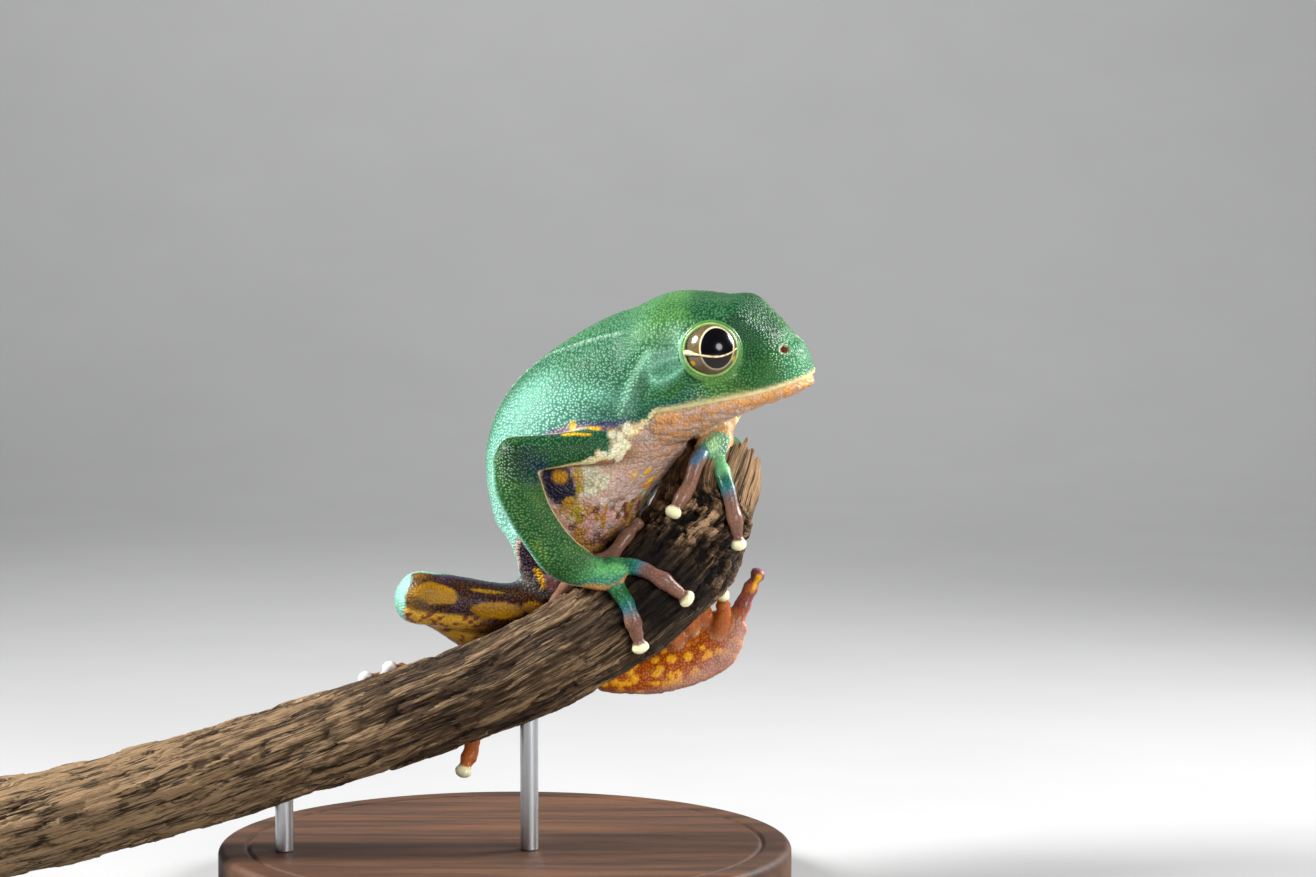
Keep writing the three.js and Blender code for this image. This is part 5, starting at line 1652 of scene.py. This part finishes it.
# paler where the bark stands high and darker where it sinks: painted light and shade from the relief, mixed
# with the grain's own streaks, hairs and blots
lit_relief_and_grain = rise * 0.75 + (streaks - 0.5) * 1.5 + (hairs - 0.5) * 2.0 + (blots - 0.5) * 0.9
lit_relief_and_grain = lit_relief_and_grain + bark_finish.read("pale") * 0.45 + 0.04
bark_colour = bark_finish.mix(lit_relief_and_grain.step(-0.6, 0.1), "1c140e", "4f3d2c")
bark_colour = bark_finish.mix(lit_relief_and_grain.step(0.05, 0.6), bark_colour, "94795a")
# pale tan streaks along the fibres: partly paler fibres, partly painted highlights
bark_colour = bark_finish.mix((hairs * 0.6 + streaks * 0.4).step(0.56, 0.7) * 0.6, bark_colour, "b39c74")
wood_share = (streaks - 0.5) * 0.8 + (hairs - 0.5) * 0.8 + (blots - 0.5) * 0.8 + rise * 0.4 + 0.05
wood_colour = bark_finish.mix(wood_share.step(-0.45, 0.3), "4a3322", "b8946c")
torn_share = bark_finish.read("bare") * (blots + rise * 0.4).step(0.3, 0.5)
bark_colour = bark_finish.mix(torn_share, bark_colour, wood_colour)
crumble_wire = bark_finish.read("crumble")
chips = bark_finish.noise(grain_place, 1500.0, detail=4.0, roughness=0.7)
crumb_paleness = (chips + rise * 0.3 + (hairs - 0.5) * 0.4).step(0.3, 0.68)
crumb_colour = bark_finish.mix(crumb_paleness, "2c1d14", "9a7a58")
crumb_colour = bark_finish.mix((chips + rise * 0.3).step(0.54, 0.72), crumb_colour, "c8a27c")
bark_colour = bark_finish.mix(crumble_wire * 0.85, bark_colour, crumb_colour)
# painted shade: the deepest hollows in the relief turn almost black
bark_colour = bark_finish.mix(rise.step(-0.3, -0.75) * 0.9, bark_colour, (0.006, 0.004, 0.003))
# thin cracks along the grain, drawn in colour and bump; their near-black is painted shade
cuts = bark_finish.noise(bark_finish.stretch(grain_place, 0.05), 750.0, detail=3.0, roughness=0.6)
cut = ((cuts - 0.5) ** 2.0).step(0.0009, 0.0001) * (blots.step(0.4, 0.55))
bark_colour = bark_finish.mix(cut * 0.85, bark_colour, (0.008, 0.005, 0.004))
# painted shade: near-black brown over the shaded band under the frog
dusk_colour = bark_finish.mix(lit_relief_and_grain.step(-0.3, 0.7), "110c09", "3b2c20")
dusk_share = bark_finish.read("dusk") * (1.0 - crumble_wire * 0.8) * 0.92
bark_colour = bark_finish.mix(dusk_share, bark_colour, dusk_colour)
bark_bump = bark_finish.bump(hairs * 0.7 + streaks - cut * 0.8 + chips * crumble_wire * 0.8, 0.0009, 1.0)
bark_finish.feed(Base_Color=bark_colour, Normal=bark_bump, Roughness=0.95 - streaks * 0.2)
settle(bark, bark_finish, "bark", "perch_branch")
settle(slivers, bark_finish, "bark")

# %% [markdown]
# ## The stand
# A museum sets such a model on a turned wooden foot, with steel rods up into the branch. The foot is a
# profile spun round its axis: a flat underside, a rounded rim and a shallow turned groove on top.

# %% Foot and rods
def turned(profile, sides):
    """A profile of (radius, height) spun round the vertical through the origin of the solids' frame."""
    a, profile = round_turn(sides), np.asarray(profile, float)
    across, height = profile[:, :1], np.broadcast_to(profile[:, 1:], (len(profile), sides))
    rings = np.stack([across * np.cos(a), across * np.sin(a), height], -1) - FIGURE
    return closed_loft(rings, (0, 0, profile[0, 1]) - FIGURE, (0, 0, profile[-1, 1]) - FIGURE)


BASE_RADIUS, BASE_TOP, EDGE = 45.0, 7.0, 1.2  # mm, with the edge's rounding last
GROOVE_RADIUS, GROOVE_DEPTH, GROOVE_WIDTH = 40.4, 0.4, 0.35
corner = np.linspace(0, np.pi / 2, 9)
low_edge = np.column_stack([BASE_RADIUS - EDGE + EDGE * np.sin(corner), EDGE - EDGE * np.cos(corner)])
high_edge = np.column_stack([BASE_RADIUS - EDGE + EDGE * np.cos(corner),
                             BASE_TOP - EDGE + EDGE * np.sin(corner)])
groove_across = np.linspace(41.2, 39.6, 9)
groove_height = BASE_TOP - GROOVE_DEPTH * hump(groove_across - GROOVE_RADIUS, GROOVE_WIDTH)
groove = np.column_stack([groove_across, groove_height])
inner = np.column_stack([np.linspace(38.0, 2.0, 12), np.full(12, BASE_TOP)])
profile = np.vstack([[[20.0, 0.0]], low_edge, high_edge, groove, inner])
foot_disc = make_piece("turned_foot", *turned(profile, 192))


ROD_RADIUS, ROD_BEVEL = 1.4, 0.15  # mm


def rod(x, y, high):
    """A round rod from the foot's top up into the branch, with a bevelled lower edge."""
    a, low = round_turn(48), BASE_TOP - FIGURE[2]
    steps = [(ROD_RADIUS - ROD_BEVEL, low), (ROD_RADIUS, low + ROD_BEVEL)]
    steps += [(ROD_RADIUS, h) for h in np.linspace(low + 2 * ROD_BEVEL, high, 10)]
    rings = np.stack([np.stack([x + r * np.cos(a), y + r * np.sin(a), np.full(48, h)], -1)
                      for r, h in steps])
    return closed_loft(rings, (x, y, low), (x, y, high))


near_rod = make_piece("steel_rod_near", *rod(-20.0, -3.1, -38.0))
far_rod = make_piece("steel_rod_far", *rod(-58.0, -4.3, -51.0))
print("foot:", 2 * BASE_RADIUS, "mm across and", BASE_TOP, "mm high")

# %% [markdown]
# ## Wood and steel
# The foot is dark wood with a dull oiled surface: long grain lines that bend slowly, with fine pores.
# Drawn steel has faint lines along its length.

# %% Stand materials
wood_finish = Finish("oiled_dark_wood", Roughness=0.55, IOR=1.5, Specular_IOR_Level=0.3)
GRAIN_TURN = (0, 0, 0.35)  # the plank's grain runs a little askew of the branch
wood_place = wood_finish.place(scale=(0.08, 1.0, 1.0), turn=GRAIN_TURN)
wave = wood_finish.noise(wood_place, 160.0, detail=3.0, roughness=0.6)
rings_wire = wood_finish.noise(wood_place, 520.0, detail=4.0, roughness=0.6)
pores = wood_finish.noise(wood_finish.place(scale=(0.05, 1.0, 1.0), turn=GRAIN_TURN), 2600.0)
wood = wood_finish.mix((wave * 0.6 + rings_wire * 0.5).step(0.35, 0.75), "2a1a11", "5b3a24")
wood = wood_finish.mix(pores.step(0.62, 0.75) * 0.6, wood, (0.008, 0.005, 0.003))
wood_finish.feed(Base_Color=wood, Roughness=0.5 + rings_wire * 0.2,
                 Normal=wood_finish.bump(pores.step(0.75, 0.55), 0.00008, 0.5))
settle(foot_disc, wood_finish, "turned_wood", "stand_base")

steel_finish = Finish("drawn_steel", Metallic=1.0, Roughness=0.3)
lines = steel_finish.noise(steel_finish.place(scale=(1.0, 1.0, 0.03)), 5000.0)
steel = steel_finish.mix(lines, (0.42, 0.43, 0.45), (0.62, 0.63, 0.65))
steel_finish.feed(Base_Color=steel, Roughness=0.25 + lines * 0.2,
                  Normal=steel_finish.bump(lines, 0.00003, 0.5))
settle(near_rod, steel_finish, "steel", "stand_rod_near")
settle(far_rod, steel_finish, "steel", "stand_rod_far")

# %% [markdown]
# ## The studio
# A pale paper sweep curves up behind the model, so there is no horizon. One large soft light stands to
# the upper left, a weaker one fills from the right, a third from behind draws bright edges along the
# back and the arm, and a fourth lights only the paper behind.

# %% Sweep and lights
bend = np.linspace(0, np.pi / 2, 25)
CURVE_RADIUS, PAPER_HALF_WIDTH = 0.5, 2.5  # metres
curve = np.column_stack([CURVE_RADIUS + CURVE_RADIUS * np.sin(bend),
                         CURVE_RADIUS - CURVE_RADIUS * np.cos(bend)])
sweep_profile = np.vstack([[[-1.2, 0.0]], curve, [[1.0, 2.2]]])
from_side_to_side = np.broadcast_to((-PAPER_HALF_WIDTH, PAPER_HALF_WIDTH), (len(sweep_profile), 2))
sweep_points = np.stack([from_side_to_side, np.repeat(sweep_profile[:, :1], 2, 1),
                         np.repeat(sweep_profile[:, 1:], 2, 1)], -1).reshape(-1, 3)
i = 2 * np.arange(len(sweep_profile) - 1)
paper = add_object("paper_sweep", sweep_points, np.stack([i, i + 1, i + 3, i + 2], 1))
paper_finish = Finish("pale_paper", Roughness=0.9)
mottled = paper_finish.noise(paper_finish.place(), 30.0)
paper_finish.feed(Base_Color=paper_finish.mix(mottled, (0.33, 0.33, 0.33), (0.355, 0.355, 0.355)))
paper.data.materials.append(paper_finish.material)
paper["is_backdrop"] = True


def soft_light(name, place, target, size, watts, spread=1.9):
    """A round soft light at a place in metres, turned to face a target, with a beam `spread` wide."""
    data = bpy.data.lights.new(name, "AREA")
    data.shape, data.energy, data.size, data.spread = "DISK", watts, size, spread
    light = bpy.data.objects.new(name, data)
    bpy.context.scene.collection.objects.link(light)
    light.location = place
    forward = unit(np.asarray(target, float) - place)
    light.rotation_euler = (math.acos(-forward[2]), 0.0, math.atan2(forward[1], forward[0]) - math.pi / 2)


frog_middle = metres((-4.0, 4.0, 0.0))
soft_light("key", (-0.42, -0.02, 0.36), frog_middle, 0.24, 2.9)
soft_light("front", (0.34, -0.46, 0.22), frog_middle, 0.26, 1.15)
soft_light("edge", (0.38, 0.16, 0.26), frog_middle, 0.20, 1.4)
soft_light("backdrop", (0.0, 0.3, 0.8), (0.0, 1.0, 0.3), 0.5, 5.0, spread=2.4)
world = bpy.data.worlds.new("studio")
world.use_nodes = True
background = world.node_tree.nodes["Background"]
background.inputs["Color"].default_value = (0.85, 0.88, 0.92, 1)
background.inputs["Strength"].default_value = 0.12
bpy.context.scene.world = world
bpy.context.scene.view_settings.view_transform = "Standard"

# %% [markdown]
# ## The size
# The dressed model's outer size is kept beside the solids' own. The two should be nearly the same.

# %% Measure and finish
dressed_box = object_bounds()
for name, box in (("solids", solid_box), ("dressed", dressed_box)):
    print(name, [[round(v, 4) for v in corner] for corner in box])
